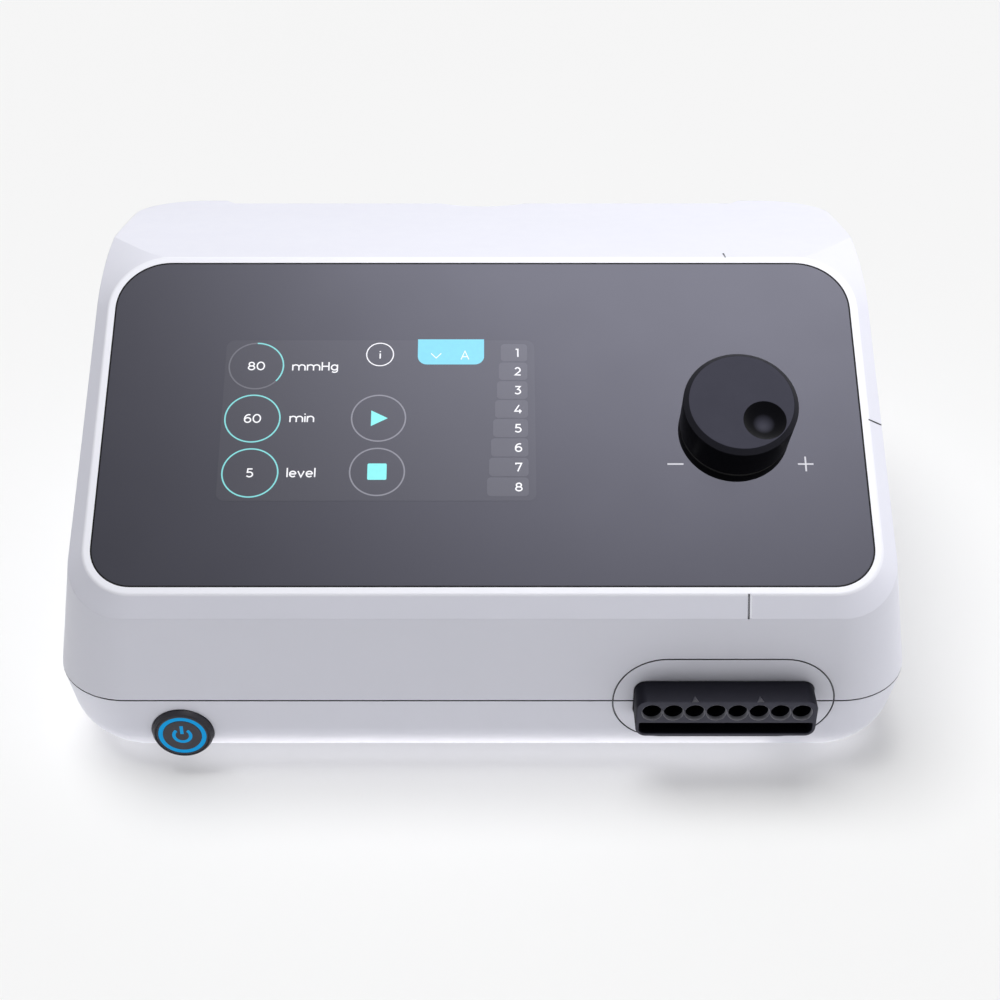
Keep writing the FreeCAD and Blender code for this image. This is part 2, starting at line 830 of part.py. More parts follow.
def socket_fin(x):
    """Three-sided mark that stands on the block's front edge and falls away behind it."""
    top = socket_z + socket_height / 2
    left = Vector(x - fin_width / 2, socket_face, top)
    front = Part.makePolygon([left, Vector(x + fin_width / 2, socket_face, top),
                              Vector(x, socket_face, top + fin_height), left])
    return Part.makeLoft([front, Part.Vertex(x, socket_face + fin_length, top)], True, True)


def hose_socket():
    """Block with a row of hose bores over a wide latch slot."""
    block = facing_block(socket_x, socket_z, socket_width, socket_height, socket_face,
                         socket_face + socket_length, socket_radius)
    slot_low = socket_z - socket_height / 2 + socket_lip
    slot = facing_block(socket_x, slot_low + slot_height / 2, socket_width - 2 * socket_lip, slot_height,
                        socket_face, socket_face + slot_depth, slot_radius)
    block = block.cut(slot)
    for x in bore_places():
        block = block.cut(rod(bore_radius, Vector(x, socket_face, bore_z), Vector(0, 1, 0), bore_depth))
        block = block.cut(rod(duct_radius, Vector(x, socket_face, bore_z), Vector(0, 1, 0),
                              socket_length))
    return join([block] + [socket_fin(socket_x + side * fin_spacing / 2) for side in (-1, 1)])


def socket_gasket():
    rear = socket_face + socket_length
    sheet = facing_block(socket_x, bore_z, socket_width - 2, 2 * bore_radius + 2, rear,
                         rear + gasket_thickness, 2)
    for x in bore_places():
        sheet = sheet.cut(rod(duct_radius, Vector(x, rear, bore_z), Vector(0, 1, 0), gasket_thickness))
    return sheet


def valve_places():
    first = socket_x - (valves_per_row - 1) / 2 * valve_pitch_x
    return [(first + column * valve_pitch_x, manifold_y0 + valve_first_y + row * valve_pitch_y)
            for row in range(valve_rows) for column in range(valves_per_row)]


def valve_manifold():
    block = box(manifold_x0, manifold_x0 + manifold_width, manifold_y0, manifold_y0 + manifold_depth,
                manifold_z0, manifold_z0 + manifold_height)
    for x in bore_places():
        block = block.cut(rod(duct_radius, Vector(x, manifold_y0, bore_z), Vector(0, 1, 0),
                              2 * valve_first_y))
    top = manifold_z0 + manifold_height
    for x, y in valve_places():
        block = block.cut(rod(duct_radius, Vector(x, y, bore_z), Vector(0, 0, 1), top - bore_z))
    spigot = tube(tube_radius - tube_wall, duct_radius / 2,
                  Vector(air_x, manifold_y0 + manifold_depth, bore_z), Vector(0, 1, 0), spigot_length)
    sensor = tube(tube_radius - tube_wall, duct_radius / 2,
                  Vector(manifold_x0 - spigot_length, sensor_y, bore_z), Vector(1, 0, 0), spigot_length)
    return join([block, spigot, sensor])


air_x = socket_x + valve_pitch_x
sensor_y = manifold_y0 + manifold_depth / 2


def valve_coils():
    """Eight coil housings, each with a blind guide for its plunger."""
    bottom = manifold_z0 + manifold_height
    coils = []
    for x, y in valve_places():
        body = box(x - valve_size / 2, x + valve_size / 2, y - valve_size / 2, y + valve_size / 2,
                   bottom, bottom + valve_height)
        guide = rod(plunger_radius + plunger_gap, Vector(x, y, bottom), Vector(0, 0, 1), plunger_room)
        coils.append(body.cut(guide))
    return Part.makeCompound(coils)


def valve_plunger(x, y):
    bottom = manifold_z0 + manifold_height
    return rod(plunger_radius, Vector(x, y, bottom + 0.2), Vector(0, 0, 1), plunger_length)


# ---- compressor
def compressor_base_z():
    return floor_top + mount_height


def compressor_base():
    z = compressor_base_z()
    plate = rounded_box(compressor_x, compressor_y, base_length, base_width, z, z + base_thickness, 5)
    for x, y in mount_places():
        plate = plate.cut(rod(screw_radius + screw_gap, Vector(x, y, z), Vector(0, 0, 1), base_thickness))
    return plate


def mount_places():
    x = base_length / 2 - mount_radius
    y = base_width / 2 - mount_radius
    return [(compressor_x + sx * x, compressor_y + sy * y) for sx in (-1, 1) for sy in (-1, 1)]


def compressor_mounts():
    mounts = []
    for x, y in mount_places():
        mounts.append(rod(mount_radius, Vector(x, y, floor_top), Vector(0, 0, 1), mount_height))
    return Part.makeCompound(mounts)


def frame_span():
    """Half the length between the diaphragms' clamped faces."""
    return armature_length / 2 - disc_thickness


def compressor_frame():
    """Two end plates on a tray that carry the cores and clamp the diaphragms."""
    z = compressor_base_z() + base_thickness
    half = frame_span()
    tray = box(compressor_x - half, compressor_x + half, compressor_y - head_size / 2,
               compressor_y + head_size / 2, z, z + wall)
    plates = [tray]
    for side in (-1, 1):
        outer = compressor_x + side * half
        inner = outer - side * frame_thickness
        plate = box(min(inner, outer), max(inner, outer), compressor_y - head_size / 2,
                    compressor_y + head_size / 2, z, compressor_axis_z + head_size / 2)
        window = rod(disc_radius + armature_travel, Vector(min(inner, outer), compressor_y,
                                                           compressor_axis_z), Vector(1, 0, 0),
                     frame_thickness)
        plates.append(plate.cut(window))
    return join(plates)


def compressor_cores():
    """Two laminated cores that face the armature from the front and the rear."""
    cores = []
    near = armature_width / 2 + armature_gap
    for side in (-1, 1):
        y0 = compressor_y + side * near
        y1 = y0 + side * core_depth
        core = box(compressor_x - core_length / 2, compressor_x + core_length / 2, min(y0, y1),
                   max(y0, y1), compressor_axis_z - core_height / 2, compressor_axis_z + core_height / 2)
        back = y1 - side * core_depth / 3
        for shift in (-core_length / 4, core_length / 4):
            x = compressor_x + shift
            core = core.cut(box(x - core_slot / 2, x + core_slot / 2, min(y0, back), max(y0, back),
                                compressor_axis_z - core_height / 2, compressor_axis_z + core_height / 2))
        cores.append(core)
    return Part.makeCompound(cores)


def compressor_coils():
    """A winding round the middle leg of each core."""
    coils = []
    leg = core_length / 2 - core_slot
    for side in (-1, 1):
        y0 = compressor_y + side * (armature_width / 2 + armature_gap + 1)
        y1 = y0 + side * (core_depth * 2 / 3 - 2)
        half = leg / 2 + core_slot - 0.5
        tall = core_height / 2 + coil_thickness
        outer = box(compressor_x - half, compressor_x + half, min(y0, y1), max(y0, y1),
                    compressor_axis_z - tall, compressor_axis_z + tall)
        inner = box(compressor_x - leg / 2 - 0.2, compressor_x + leg / 2 + 0.2, min(y0, y1), max(y0, y1),
                    compressor_axis_z - core_height / 2 - 0.2, compressor_axis_z + core_height / 2 + 0.2)
        coils.append(outer.cut(inner))
    return Part.makeCompound(coils)


def armature():
    """Magnet bar with a disc at each end that works a diaphragm."""
    bar = box(compressor_x - armature_length / 2 + disc_thickness,
              compressor_x + armature_length / 2 - disc_thickness,
              compressor_y - armature_width / 2, compressor_y + armature_width / 2,
              compressor_axis_z - armature_height / 2, compressor_axis_z + armature_height / 2)
    discs = []
    for side in (-1, 1):
        x = compressor_x + side * (armature_length / 2 - disc_thickness / 2) - disc_thickness / 2
        discs.append(rod(disc_radius, Vector(x, compressor_y, compressor_axis_z), Vector(1, 0, 0),
                         disc_thickness))
    return join([bar] + discs)


def diaphragm(side):
    """Rubber ring clamped between the frame and the head, close round the armature's disc."""
    start = compressor_x + side * frame_span()
    x = min(start, start + side * diaphragm_thickness)
    return tube(diaphragm_radius, disc_radius + diaphragm_fit, Vector(x, compressor_y, compressor_axis_z),
                Vector(1, 0, 0), diaphragm_thickness)


def pump_head(side):
    """Valve head with a shallow chamber over the diaphragm and a spigot on its front."""
    start = compressor_x + side * (frame_span() + diaphragm_thickness)
    end = start + side * head_thickness
    head = box(min(start, end), max(start, end), compressor_y - head_size / 2,
               compressor_y + head_size / 2, compressor_axis_z - head_size / 2 + wall,
               compressor_axis_z + head_size / 2)
    chamber = rod(disc_radius + armature_travel, Vector(min(start, start + side * head_room),
                                                        compressor_y, compressor_axis_z),
                  Vector(1, 0, 0), head_room)
    middle = (start + end) / 2 + side * head_room / 2
    spigot = tube(tube_radius - tube_wall, duct_radius / 2,
                  Vector(middle, compressor_y - head_size / 2 - spigot_length, compressor_axis_z),
                  Vector(0, 1, 0), spigot_length)
    return join([head.cut(chamber), spigot])


def head_screws():
    screws = []
    reach = head_size / 2 - 5
    for side in (-1, 1):
        end = compressor_x + side * (frame_span() + diaphragm_thickness + head_thickness)
        for dy in (-reach, reach):
            for dz in (-reach + wall, reach):
                place = Vector(end, compressor_y + dy, compressor_axis_z + dz)
                screws.append(rod(screw_head_radius, place, Vector(side, 0, 0), screw_head))
    return Part.makeCompound(screws)


# ---- air path
def head_spigot_x():
    middle = compressor_x + frame_span() + diaphragm_thickness + head_thickness / 2
    return middle + head_room / 2


def air_tank():
    """Silencing chamber between the pump head and the manifold."""
    x = head_spigot_x()
    y1 = compressor_y - head_size / 2 - 3 * spigot_length
    block = rounded_box(x, y1 - tank_depth / 2, tank_width, tank_depth, floor_top,
                        floor_top + tank_height + tank_height / 2, 3)
    room = rounded_box(x, y1 - tank_depth / 2, tank_width - 2 * tank_wall, tank_depth - 2 * tank_wall,
                       floor_top + tank_wall, floor_top + tank_height * 1.5 - tank_wall, 2)
    inlet = tube(tube_radius - tube_wall, duct_radius / 2, Vector(x, y1, compressor_axis_z),
                 Vector(0, 1, 0), spigot_length)
    outlet = tube(tube_radius - tube_wall, duct_radius / 2,
                  Vector(air_x, y1 - tank_depth - spigot_length, bore_z), Vector(0, 1, 0), spigot_length)
    return join([block.cut(room), inlet, outlet])


def hose(start, end):
    run = end - start
    return tube(tube_radius, tube_radius - tube_wall, start, run, run.Length)


def compressor_hose():
    x = head_spigot_x()
    y1 = compressor_y - head_size / 2
    return hose(Vector(x, y1 - 3 * spigot_length + 0.5, compressor_axis_z),
                Vector(x, y1 - 0.5, compressor_axis_z))


def manifold_hose():
    y0 = manifold_y0 + manifold_depth
    y1 = compressor_y - head_size / 2 - 3 * spigot_length - tank_depth
    return hose(Vector(air_x, y0 + 0.5, bore_z), Vector(air_x, y1 - 0.5, bore_z))


def sensor_hose():
    return hose(Vector(sensor_x + sensor_size + 0.5, sensor_y, bore_z),
                Vector(manifold_x0 - 0.5, sensor_y, bore_z))


sensor_size = 12.0
sensor_x = main_board_x + main_board_width / 2 - 2 * sensor_size


def pressure_sensor():
    low = board_height + board_thickness
    body = box(sensor_x, sensor_x + sensor_size, sensor_y - sensor_size / 2, sensor_y + sensor_size / 2,
               low, bore_z + tube_radius)
    port = rod(tube_radius - tube_wall, Vector(sensor_x + sensor_size, sensor_y, bore_z),
               Vector(1, 0, 0), spigot_length)
    return join([body, port])


def inlet_filter():
    """Felt pad over the idle pump head's spigot."""
    x = 2 * compressor_x - head_spigot_x()
    y = compressor_y - head_size / 2 - spigot_length
    pad = rod(2.5 * tube_radius, Vector(x, y - spigot_length, compressor_axis_z), Vector(0, 1, 0),
              2 * spigot_length - 1)
    return pad.cut(rod(tube_radius - tube_wall, Vector(x, y, compressor_axis_z), Vector(0, 1, 0),
                       2 * spigot_length))


# ---- boards and supply
def main_board():
    return rounded_box(main_board_x, main_board_y, main_board_width, main_board_depth, board_height,
                       board_height + board_thickness, 2)


def board_chips():
    """Processor, drivers and connectors on the main board, between its left edge and the sensor."""
    low = board_height + board_thickness
    left = main_board_x - main_board_width / 2 + chip_gap
    pitch = (sensor_x - left) / chip_columns
    chips = []
    for column in range(chip_columns):
        x = left + (column + 0.5) * pitch - chip_gap / 2
        for row, height in enumerate(chip_heights):
            y = main_board_y + (row - 0.5) * main_board_depth / 2.5
            half = (pitch - chip_gap) / 2 * (1 - 0.2 * ((column + row) % 2))
            chips.append(box(x - half, x + half, y - half, y + half, low, low + height))
    return Part.makeCompound(chips)


def board_screws():
    places = [(x, y) for x, y, top, radius in floor_posts()[4:8]]
    low = board_height + board_thickness
    return Part.makeCompound([rod(screw_head_radius, Vector(x, y, low), Vector(0, 0, 1), screw_head)
                              for x, y in places])


def supply_board():
    return rounded_box(supply_x, supply_y, supply_width, supply_depth, supply_height,
                       supply_height + board_thickness, 2)


def supply_transformer():
    low = supply_height + board_thickness
    x = supply_x - supply_width / 2 + transformer_width / 2 + 3
    y = supply_y
    core = box(x - transformer_width / 2, x + transformer_width / 2, y - transformer_depth / 4,
               y + transformer_depth / 4, low, low + transformer_height)
    winding = rounded_box(x, y, transformer_width * 0.7, transformer_depth, low + 2,
                          low + transformer_height - 4, 3)
    return join([core, winding])


def supply_capacitors():
    low = supply_height + board_thickness
    x = supply_x + supply_width / 2 - capacitor_radius - 3
    cans = []
    for k in (-1, 1):
        y = supply_y + k * 1.4 * capacitor_radius
        cans.append(rod(capacitor_radius, Vector(x, y, low), Vector(0, 0, 1), capacitor_height))
    return Part.makeCompound(cans)


# ---- rear plate, mains inlet and fan
def inlet_bottom():
    return inlet_z - inlet_height / 2 - drawer_height


def rear_plate():
    z = bay_floor + 1 + rear_plate_height / 2
    plate = facing_block(0, z, 2 * rear_plate_half_width, rear_plate_height, bay_face,
                         bay_face + rear_plate_thickness, rear_plate_radius)
    cuts = [box(inlet_x - inlet_width / 2, inlet_x + inlet_width / 2, bay_face, case_rear,
                inlet_bottom(), inlet_z + inlet_height / 2)]
    rows = int(2 * (fan_bore - vent_slot) / vent_pitch)
    for k in range(rows):
        rise = (k - (rows - 1) / 2) * vent_pitch
        half = math.sqrt(fan_bore ** 2 - rise ** 2) - 1
        cuts.append(facing_block(fan_x, fan_z + rise, 2 * half, vent_slot, bay_face, case_rear,
                                 vent_slot / 2 - 0.05))
    for x, zz in rear_screw_places():
        cuts.append(rod(screw_radius + screw_gap, Vector(x, bay_face, zz), Vector(0, 1, 0), 2 * wall))
    for cut in cuts:
        plate = plate.cut(cut)
    return plate


def rear_screws():
    screws = []
    for x, z in rear_screw_places():
        face = bay_face + rear_plate_thickness
        head = rod(screw_head_radius, Vector(x, face, z), Vector(0, 1, 0), screw_head)
        slot = box(x - screw_head_radius, x + screw_head_radius, face + screw_head / 2, face + 2 * screw_head,
                   z - 0.35, z + 0.35)
        shank = rod(screw_radius - 0.05, Vector(x, face - rear_plate_thickness - wall, z),
                    Vector(0, 1, 0), rear_plate_thickness + wall)
        screws.append(join([head.cut(slot), shank]))
    return Part.makeCompound(screws)


def mains_inlet():
    """Appliance inlet with a flange outside the plate and a fuse drawer's slot under it."""
    outside = bay_face + rear_plate_thickness
    back = outside + inlet_flange - inlet_depth
    body = box(inlet_x - inlet_width / 2, inlet_x + inlet_width / 2, back, outside, inlet_bottom(),
               inlet_z + inlet_height / 2)
    middle = (inlet_bottom() + inlet_z + inlet_height / 2) / 2
    flange = facing_block(inlet_x, middle, inlet_width + 2 * flange_lap,
                          inlet_height + drawer_height + 2 * flange_lap, outside,
                          outside + inlet_flange, 3)
    recess = box(inlet_x - inlet_width / 2 + inlet_wall, inlet_x + inlet_width / 2 - inlet_wall,
                 back + 2, outside + inlet_flange, inlet_z - inlet_height / 2 + inlet_wall,
                 inlet_z + inlet_height / 2 - inlet_wall)
    drawer = drawer_box(drawer_gap).common(box(-case_depth, case_depth, back + 2, case_depth, 0,
                                               case_depth))
    body = join([body, flange]).cut(recess).cut(drawer)
    for x, z in pin_places():
        body = body.cut(box(x - pin_thickness / 2, x + pin_thickness / 2, back, back + 2,
                            z - pin_height / 2, z + pin_height / 2))
    return body


def drawer_box(gap):
    outside = bay_face + rear_plate_thickness + inlet_flange
    half = inlet_width / 2 - 2 * inlet_wall
    low = inlet_bottom() + inlet_wall
    return box(inlet_x - half - gap, inlet_x + half + gap, outside - inlet_depth + 4 - gap, outside,
               low - gap, low + drawer_height - 2 * inlet_wall + gap)


def fuse_drawer():
    outside = bay_face + rear_plate_thickness + inlet_flange
    low = inlet_bottom() + inlet_wall
    grip = box(inlet_x - 4, inlet_x + 4, outside, outside + 0.8, low + 1,
               low + drawer_height - 2 * inlet_wall - 1)
    return join([drawer_box(0), grip])


def pin_places():
    drop = pin_height / 2
    return [(inlet_x - pin_spacing / 2, inlet_z - drop), (inlet_x + pin_spacing / 2, inlet_z - drop),
            (inlet_x, inlet_z + drop)]


def inlet_pins():
    back = bay_face + rear_plate_thickness + inlet_flange - inlet_depth
    pins = []
    for x, z in pin_places():
        pins.append(box(x - pin_thickness / 2, x + pin_thickness / 2, back - spigot_length,
                        back + 2 + pin_length, z - pin_height / 2, z + pin_height / 2))
    return Part.makeCompound(pins)


def fan_frame():
    front = bay_face - fan_depth
    frame = facing_block(fan_x, fan_z, fan_size, fan_size, front, bay_face, 2)
    frame = frame.cut(rod(fan_bore, Vector(fan_x, front, fan_z), Vector(0, 1, 0), fan_depth))
    pieces = [frame, rod(fan_hub_radius, Vector(fan_x, bay_face - 1.5, fan_z), Vector(0, 1, 0), 1.5)]
    for k in range(3):
        strut = box(0, fan_bore + 0.5, -1, 1, 0, 1.5)
        strut.rotate(Vector(0, 0, 0), Vector(0, 0, 1), 90 + 120 * k)
        strut.rotate(Vector(0, 0, 0), Vector(1, 0, 0), 90)
        strut.translate(Vector(fan_x, bay_face, fan_z))
        pieces.append(strut)
    pieces.append(rod(1.5, Vector(fan_x, bay_face - 5, fan_z), Vector(0, 1, 0), 4))
    return join(pieces)


def fan_rotor():
    """Hub with raked blades on the fan's pin."""
    front = bay_face - fan_depth + 0.5
    depth = fan_depth - 2.5
    pieces = [rod(fan_hub_radius - 0.5, Vector(0, 0, 0), Vector(0, 0, 1), depth)]
    for k in range(blade_count):
        blade = box(fan_hub_radius - 2, blade_radius - 0.1, -blade_thickness / 2, blade_thickness / 2,
                    0.5, depth - 0.5)
        blade.rotate(Vector(0, 0, depth / 2), Vector(1, 0, 0), 38)
        blade.rotate(Vector(0, 0, 0), Vector(0, 0, 1), 360 / blade_count * k)
        pieces.append(blade)
    rotor = join(pieces).common(rod(blade_radius, Vector(0, 0, 0), Vector(0, 0, 1), depth))
    rotor = rotor.cut(rod(1.5 + shaft_gap, Vector(0, 0, 0), Vector(0, 0, 1), 3.5))
    rotor.rotate(Vector(0, 0, 0), Vector(1, 0, 0), 90)
    rotor.translate(Vector(fan_x, front + depth, fan_z))
    return rotor


# ---- export
def all_parts():
    parts = {
        "upper_shell": upper_shell(), "lower_shell": lower_shell(), "rear_plate": rear_plate(),
        "rear_screws": rear_screws(), "feet": feet(), "case_screws": case_screws(),
        "front_glass": front_glass(), "display_module": display_module(),
        "display_bracket": display_bracket(), "knob_cap": knob_cap(),
        "knob_base_ring": knob_base_ring(), "encoder_shaft": encoder_shaft(),
        "encoder_body": encoder_body(), "encoder_stem": encoder_stem(), "encoder_nut": encoder_nut(),
        "encoder_board": encoder_board(), "power_button_bezel": power_button_bezel(),
        "power_button_cap": power_button_cap(), "power_button_light": power_button_light(),
        "power_button_nut": power_button_nut(), "hose_socket": hose_socket(),
        "socket_gasket": socket_gasket(), "valve_manifold": valve_manifold(),
        "valve_coils": valve_coils(), "compressor_base": compressor_base(),
        "compressor_mounts": compressor_mounts(), "compressor_frame": compressor_frame(),
        "compressor_cores": compressor_cores(), "compressor_coils": compressor_coils(),
        "armature": armature(), "diaphragm_left": diaphragm(-1), "diaphragm_right": diaphragm(1),
        "pump_head_left": pump_head(-1), "pump_head_right": pump_head(1),
        "head_screws": head_screws(), "air_tank": air_tank(), "compressor_hose": compressor_hose(),
        "manifold_hose": manifold_hose(), "sensor_hose": sensor_hose(),
        "pressure_sensor": pressure_sensor(), "inlet_filter": inlet_filter(),
        "main_board": main_board(), "board_chips": board_chips(), "board_screws": board_screws(),
        "supply_board": supply_board(), "supply_transformer": supply_transformer(),
        "supply_capacitors": supply_capacitors(), "mains_inlet": mains_inlet(),
        "fuse_drawer": fuse_drawer(), "inlet_pins": inlet_pins(), "fan_frame": fan_frame(),
        "fan_rotor": fan_rotor(),
    }
    for number, (x, y) in enumerate(valve_places(), start=1):
        parts["valve_plunger_%d" % number] = valve_plunger(x, y)
    return parts


os.makedirs("parts", exist_ok=True)
for name, shape in all_parts().items():
    shape.exportStep("parts/" + name + ".step")
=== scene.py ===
import json
import math

import bmesh
import bpy
from mathutils import Matrix, Vector

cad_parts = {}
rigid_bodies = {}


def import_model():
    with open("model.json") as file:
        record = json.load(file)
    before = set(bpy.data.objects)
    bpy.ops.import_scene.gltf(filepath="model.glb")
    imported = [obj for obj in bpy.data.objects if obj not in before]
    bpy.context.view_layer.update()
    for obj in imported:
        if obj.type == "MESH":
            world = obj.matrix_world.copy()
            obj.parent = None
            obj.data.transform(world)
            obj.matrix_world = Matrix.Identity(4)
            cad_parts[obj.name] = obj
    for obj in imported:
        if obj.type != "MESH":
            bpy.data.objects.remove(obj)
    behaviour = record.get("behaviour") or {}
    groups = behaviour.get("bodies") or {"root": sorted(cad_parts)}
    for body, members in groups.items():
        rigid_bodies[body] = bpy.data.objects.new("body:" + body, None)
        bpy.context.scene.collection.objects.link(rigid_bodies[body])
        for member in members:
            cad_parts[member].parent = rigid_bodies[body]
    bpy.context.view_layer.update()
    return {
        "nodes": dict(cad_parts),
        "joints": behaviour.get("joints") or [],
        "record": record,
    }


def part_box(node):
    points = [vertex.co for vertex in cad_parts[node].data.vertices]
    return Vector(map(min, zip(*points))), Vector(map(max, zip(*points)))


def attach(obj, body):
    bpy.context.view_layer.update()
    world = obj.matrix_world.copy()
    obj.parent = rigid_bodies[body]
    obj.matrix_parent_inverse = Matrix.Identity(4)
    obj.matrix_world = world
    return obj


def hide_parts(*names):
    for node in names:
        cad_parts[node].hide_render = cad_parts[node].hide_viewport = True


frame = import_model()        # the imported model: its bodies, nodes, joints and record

bl_info = {
    "name": "Compression pump finish",
    "version": (1, 0, 0),
    "blender": (4, 5, 0),
    "location": "View3D > Sidebar > Pump",
    "description": "Fine pieces, finishes and stage of a table-top compression therapy pump",
    "category": "Object",
}

MM = 0.001
TURN = 2 * math.pi
COOL_GLOSS = (0.8, 0.8, 1.0, 1)        # tint of what black plastic and glass reflect


def mm(*values):
    return tuple(value * MM for value in values)


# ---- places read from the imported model
def find_joint(name):
    return next(joint for joint in frame["joints"] if joint["name"] == name)


def panel_place():
    """Frame on the glass: x across, y up the slope from the front edge, z out of the glass."""
    normal = Vector(find_joint("knob_turn")["axis"])
    across = Vector((1, 0, 0))
    upward = normal.cross(across)
    corners = [vertex.co for vertex in frame["nodes"]["front_glass"].data.vertices]
    front = min(corner.dot(upward) for corner in corners)
    top = max(corner.dot(normal) for corner in corners)
    turn = Matrix((across, upward, normal)).transposed().to_4x4()
    return Matrix.Translation(upward * front + normal * top) @ turn


def knob_place():
    """Panel frame moved to where the knob's axis passes the glass."""
    panel = panel_place()
    on_axis = panel.inverted() @ Vector(find_joint("knob_turn")["pos_m"])
    return panel @ Matrix.Translation((on_axis.x, on_axis.y, 0))


def front_place(node):
    """Frame on the front face of a node: x across, y up, z towards the front."""
    low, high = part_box(node)
    turn = Matrix(((1, 0, 0), (0, 0, 1), (0, -1, 0))).transposed().to_4x4()
    return Matrix.Translation(((low.x + high.x) / 2, low.y, (low.z + high.z) / 2)) @ turn


def node_size(node):
    low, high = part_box(node)
    return high - low


# ---- settings
def setting(name, description, default, **kind):
    make = bpy.props.FloatVectorProperty if isinstance(default, tuple) else bpy.props.FloatProperty
    return make(name=name, description=description, default=default, **kind)


def length(name, description, millimetres):
    return setting(name, description, millimetres * MM, unit="LENGTH", precision=5)


def share(*facts):
    return setting(*facts, min=0, max=1, subtype="FACTOR")


def number(*facts):
    return setting(*facts, min=0)


def colour(name, thing, default):
    return setting(name, "Colour of " + thing, default, min=0, max=1, subtype="COLOR")


class CaseSettings(bpy.types.PropertyGroup):
    white: colour("White", "the moulded case", (0.77, 0.775, 0.865))
    # painted light: the rim colour is paler for the light the rim faces
    rim: colour("Rim", "the rim round the glass", (0.89, 0.895, 0.97))
    # painted shade: the joint colour darkens narrow gaps where shade falls
    joint: colour("Joint", "the depth of joints and index marks", (0.04, 0.04, 0.052))
    gap_shade_reach: length("Joint reach", "How wide a gap still darkens", 1.3)
    plate: colour("Plate", "the rear plate", (0.16, 0.165, 0.18))
    grain: length("Grain", "Width of the moulded texture's grains", 0.45)
    depth: length("Grain depth", "Depth of the moulded texture", 0.006)
    edge: length("Edge", "Softening of the case's crisp edges", 0.5)
    bead: length("Bead", "Width of the raised bead beside the front index mark", 0.75)


class ScreenSettings(bpy.types.PropertyGroup):
    skin: length("Skin", "Thickness of each printed or lit layer", 0.02)
    line: length("Line", "Width of the rings round the values", 0.5)
    front_corner: length("Front corner", "Radius of the glass's front corners", 14)
    rear_corner: length("Rear corner", "Radius of the glass's rear corners", 18.3)
    # partly painted shade: width of the dark strip that deepens the gap round the glass
    seal_and_gap_shade: length("Seal", "Width of the dark seal round the glass", 0.55)
    stroke: length("Stroke", "Width of the letters' strokes", 0.47)
    letter: length("Letter height", "Height of a capital letter", 3.3)
    glass: colour("Glass", "the dark glass", (0.004, 0.004, 0.0055))
    area: colour("Lit area", "the display's rounded area", (0.016, 0.016, 0.018))
    bar: colour("Bar", "the number bars", (0.05, 0.05, 0.056))
    white: colour("White", "the letters", (0.9, 0.9, 0.92))
    sign: colour("Sign", "the minus and plus beside the knob", (0.55, 0.55, 0.57))
    grey: colour("Grey", "the dim rings", (0.2, 0.2, 0.225))
    faint: colour("Faint", "the unfilled part of a ring", (0.1, 0.1, 0.11))
    cyan: colour("Cyan", "the icons", (0.21, 0.84, 0.82))
    ring: colour("Ring", "the value rings", (0.19, 0.64, 0.64))
    tab: colour("Tab", "the tab", (0.15, 0.62, 0.78))


class KnobSettings(bpy.types.PropertyGroup):
    side: colour("Side", "the knob's side", (0.0015, 0.0015, 0.002))
    # The top and bevel colours are painted light: paler tones that stand in for the light on the knob's top,
    # dimple and bevel.
    top: colour("Top", "the knob's top face", (0.04, 0.04, 0.056))
    bevel: colour("Bevel", "the bevel round the top", (0.016, 0.016, 0.021))
    rim_radius: length("Rim radius", "Radius where the side meets the bevel", 19)
    rim_height: length("Rim height", "Height of that edge over the glass", 20)
    top_radius: length("Top radius", "Radius of the flat top", 17.3)
    seat_radius: length("Seat radius", "Radius at the foot of the cap", 18.7)
    dimple_radius: length("Dimple radius", "Radius of the finger dimple", 7)
    dimple_depth: length("Dimple depth", "Depth of the finger dimple", 3.2)
    dimple_x: length("Dimple across", "Dimple's place across the knob", 7.2)
    dimple_y: length("Dimple up", "Dimple's place up the knob", -6.8)
    wall: length("Wall", "Wall of the cap", 2.4)
    softness: length("Softness", "Radius of the knob's edges", 0.18)


class ButtonSettings(bpy.types.PropertyGroup):
    bezel: colour("Bezel", "the bezel", (0.012, 0.011, 0.019))
    face: colour("Face", "the button's face", (0.022, 0.021, 0.033))
    light: colour("Light", "the light ring and icon", (0.003, 0.26, 0.58))
    icon_radius: length("Icon radius", "Radius of the power sign's arc", 2.85)
    icon_line: length("Icon line", "Width of the power sign's strokes", 1.15)
    icon_top: length("Icon top", "Top of the power sign's bar", 4.4)
    icon_foot: length("Icon foot", "Foot of the power sign's bar", 0.8)
    softness: length("Softness", "Radius of the button's edges", 0.3)


class SocketSettings(bpy.types.PropertyGroup):
    black: colour("Black", "the socket block", (0.005, 0.005, 0.008))
    # painted light: the front face's paler tone stands in for the light it catches
    face: colour("Face", "the block's front face", (0.062, 0.062, 0.08))
    mark: colour("Mark", "the two marks on the top edge", (0.075, 0.075, 0.09))
    # painted highlight: the pale tone in the mouths stands in for light on the bores' lower walls
    mouth_highlight: colour("Sleeve", "the sleeves in the mouths", (0.3, 0.3, 0.34))
    mouth: length("Mouth", "Radius of a hose socket's wider mouth", 3.47)
    mouth_depth: length("Mouth depth", "Depth of the mouth", 1.6)
    lip: length("Lip", "Wall between the slot and the outside", 1.2)
    corner: length("Corner", "Radius of the block's long edges", 3.6)
    bore_radius: length("Bore radius", "Radius of the hose sockets", 3.15)
    bore_depth: length("Bore depth", "Depth of the hose sockets", 16)
    slot_height: length("Slot height", "Height of the latch slot under the sockets", 4.7)
    slot_depth: length("Slot depth", "Depth of the latch slot", 8)
    softness: length("Softness", "Radius of the edges", 0.35)


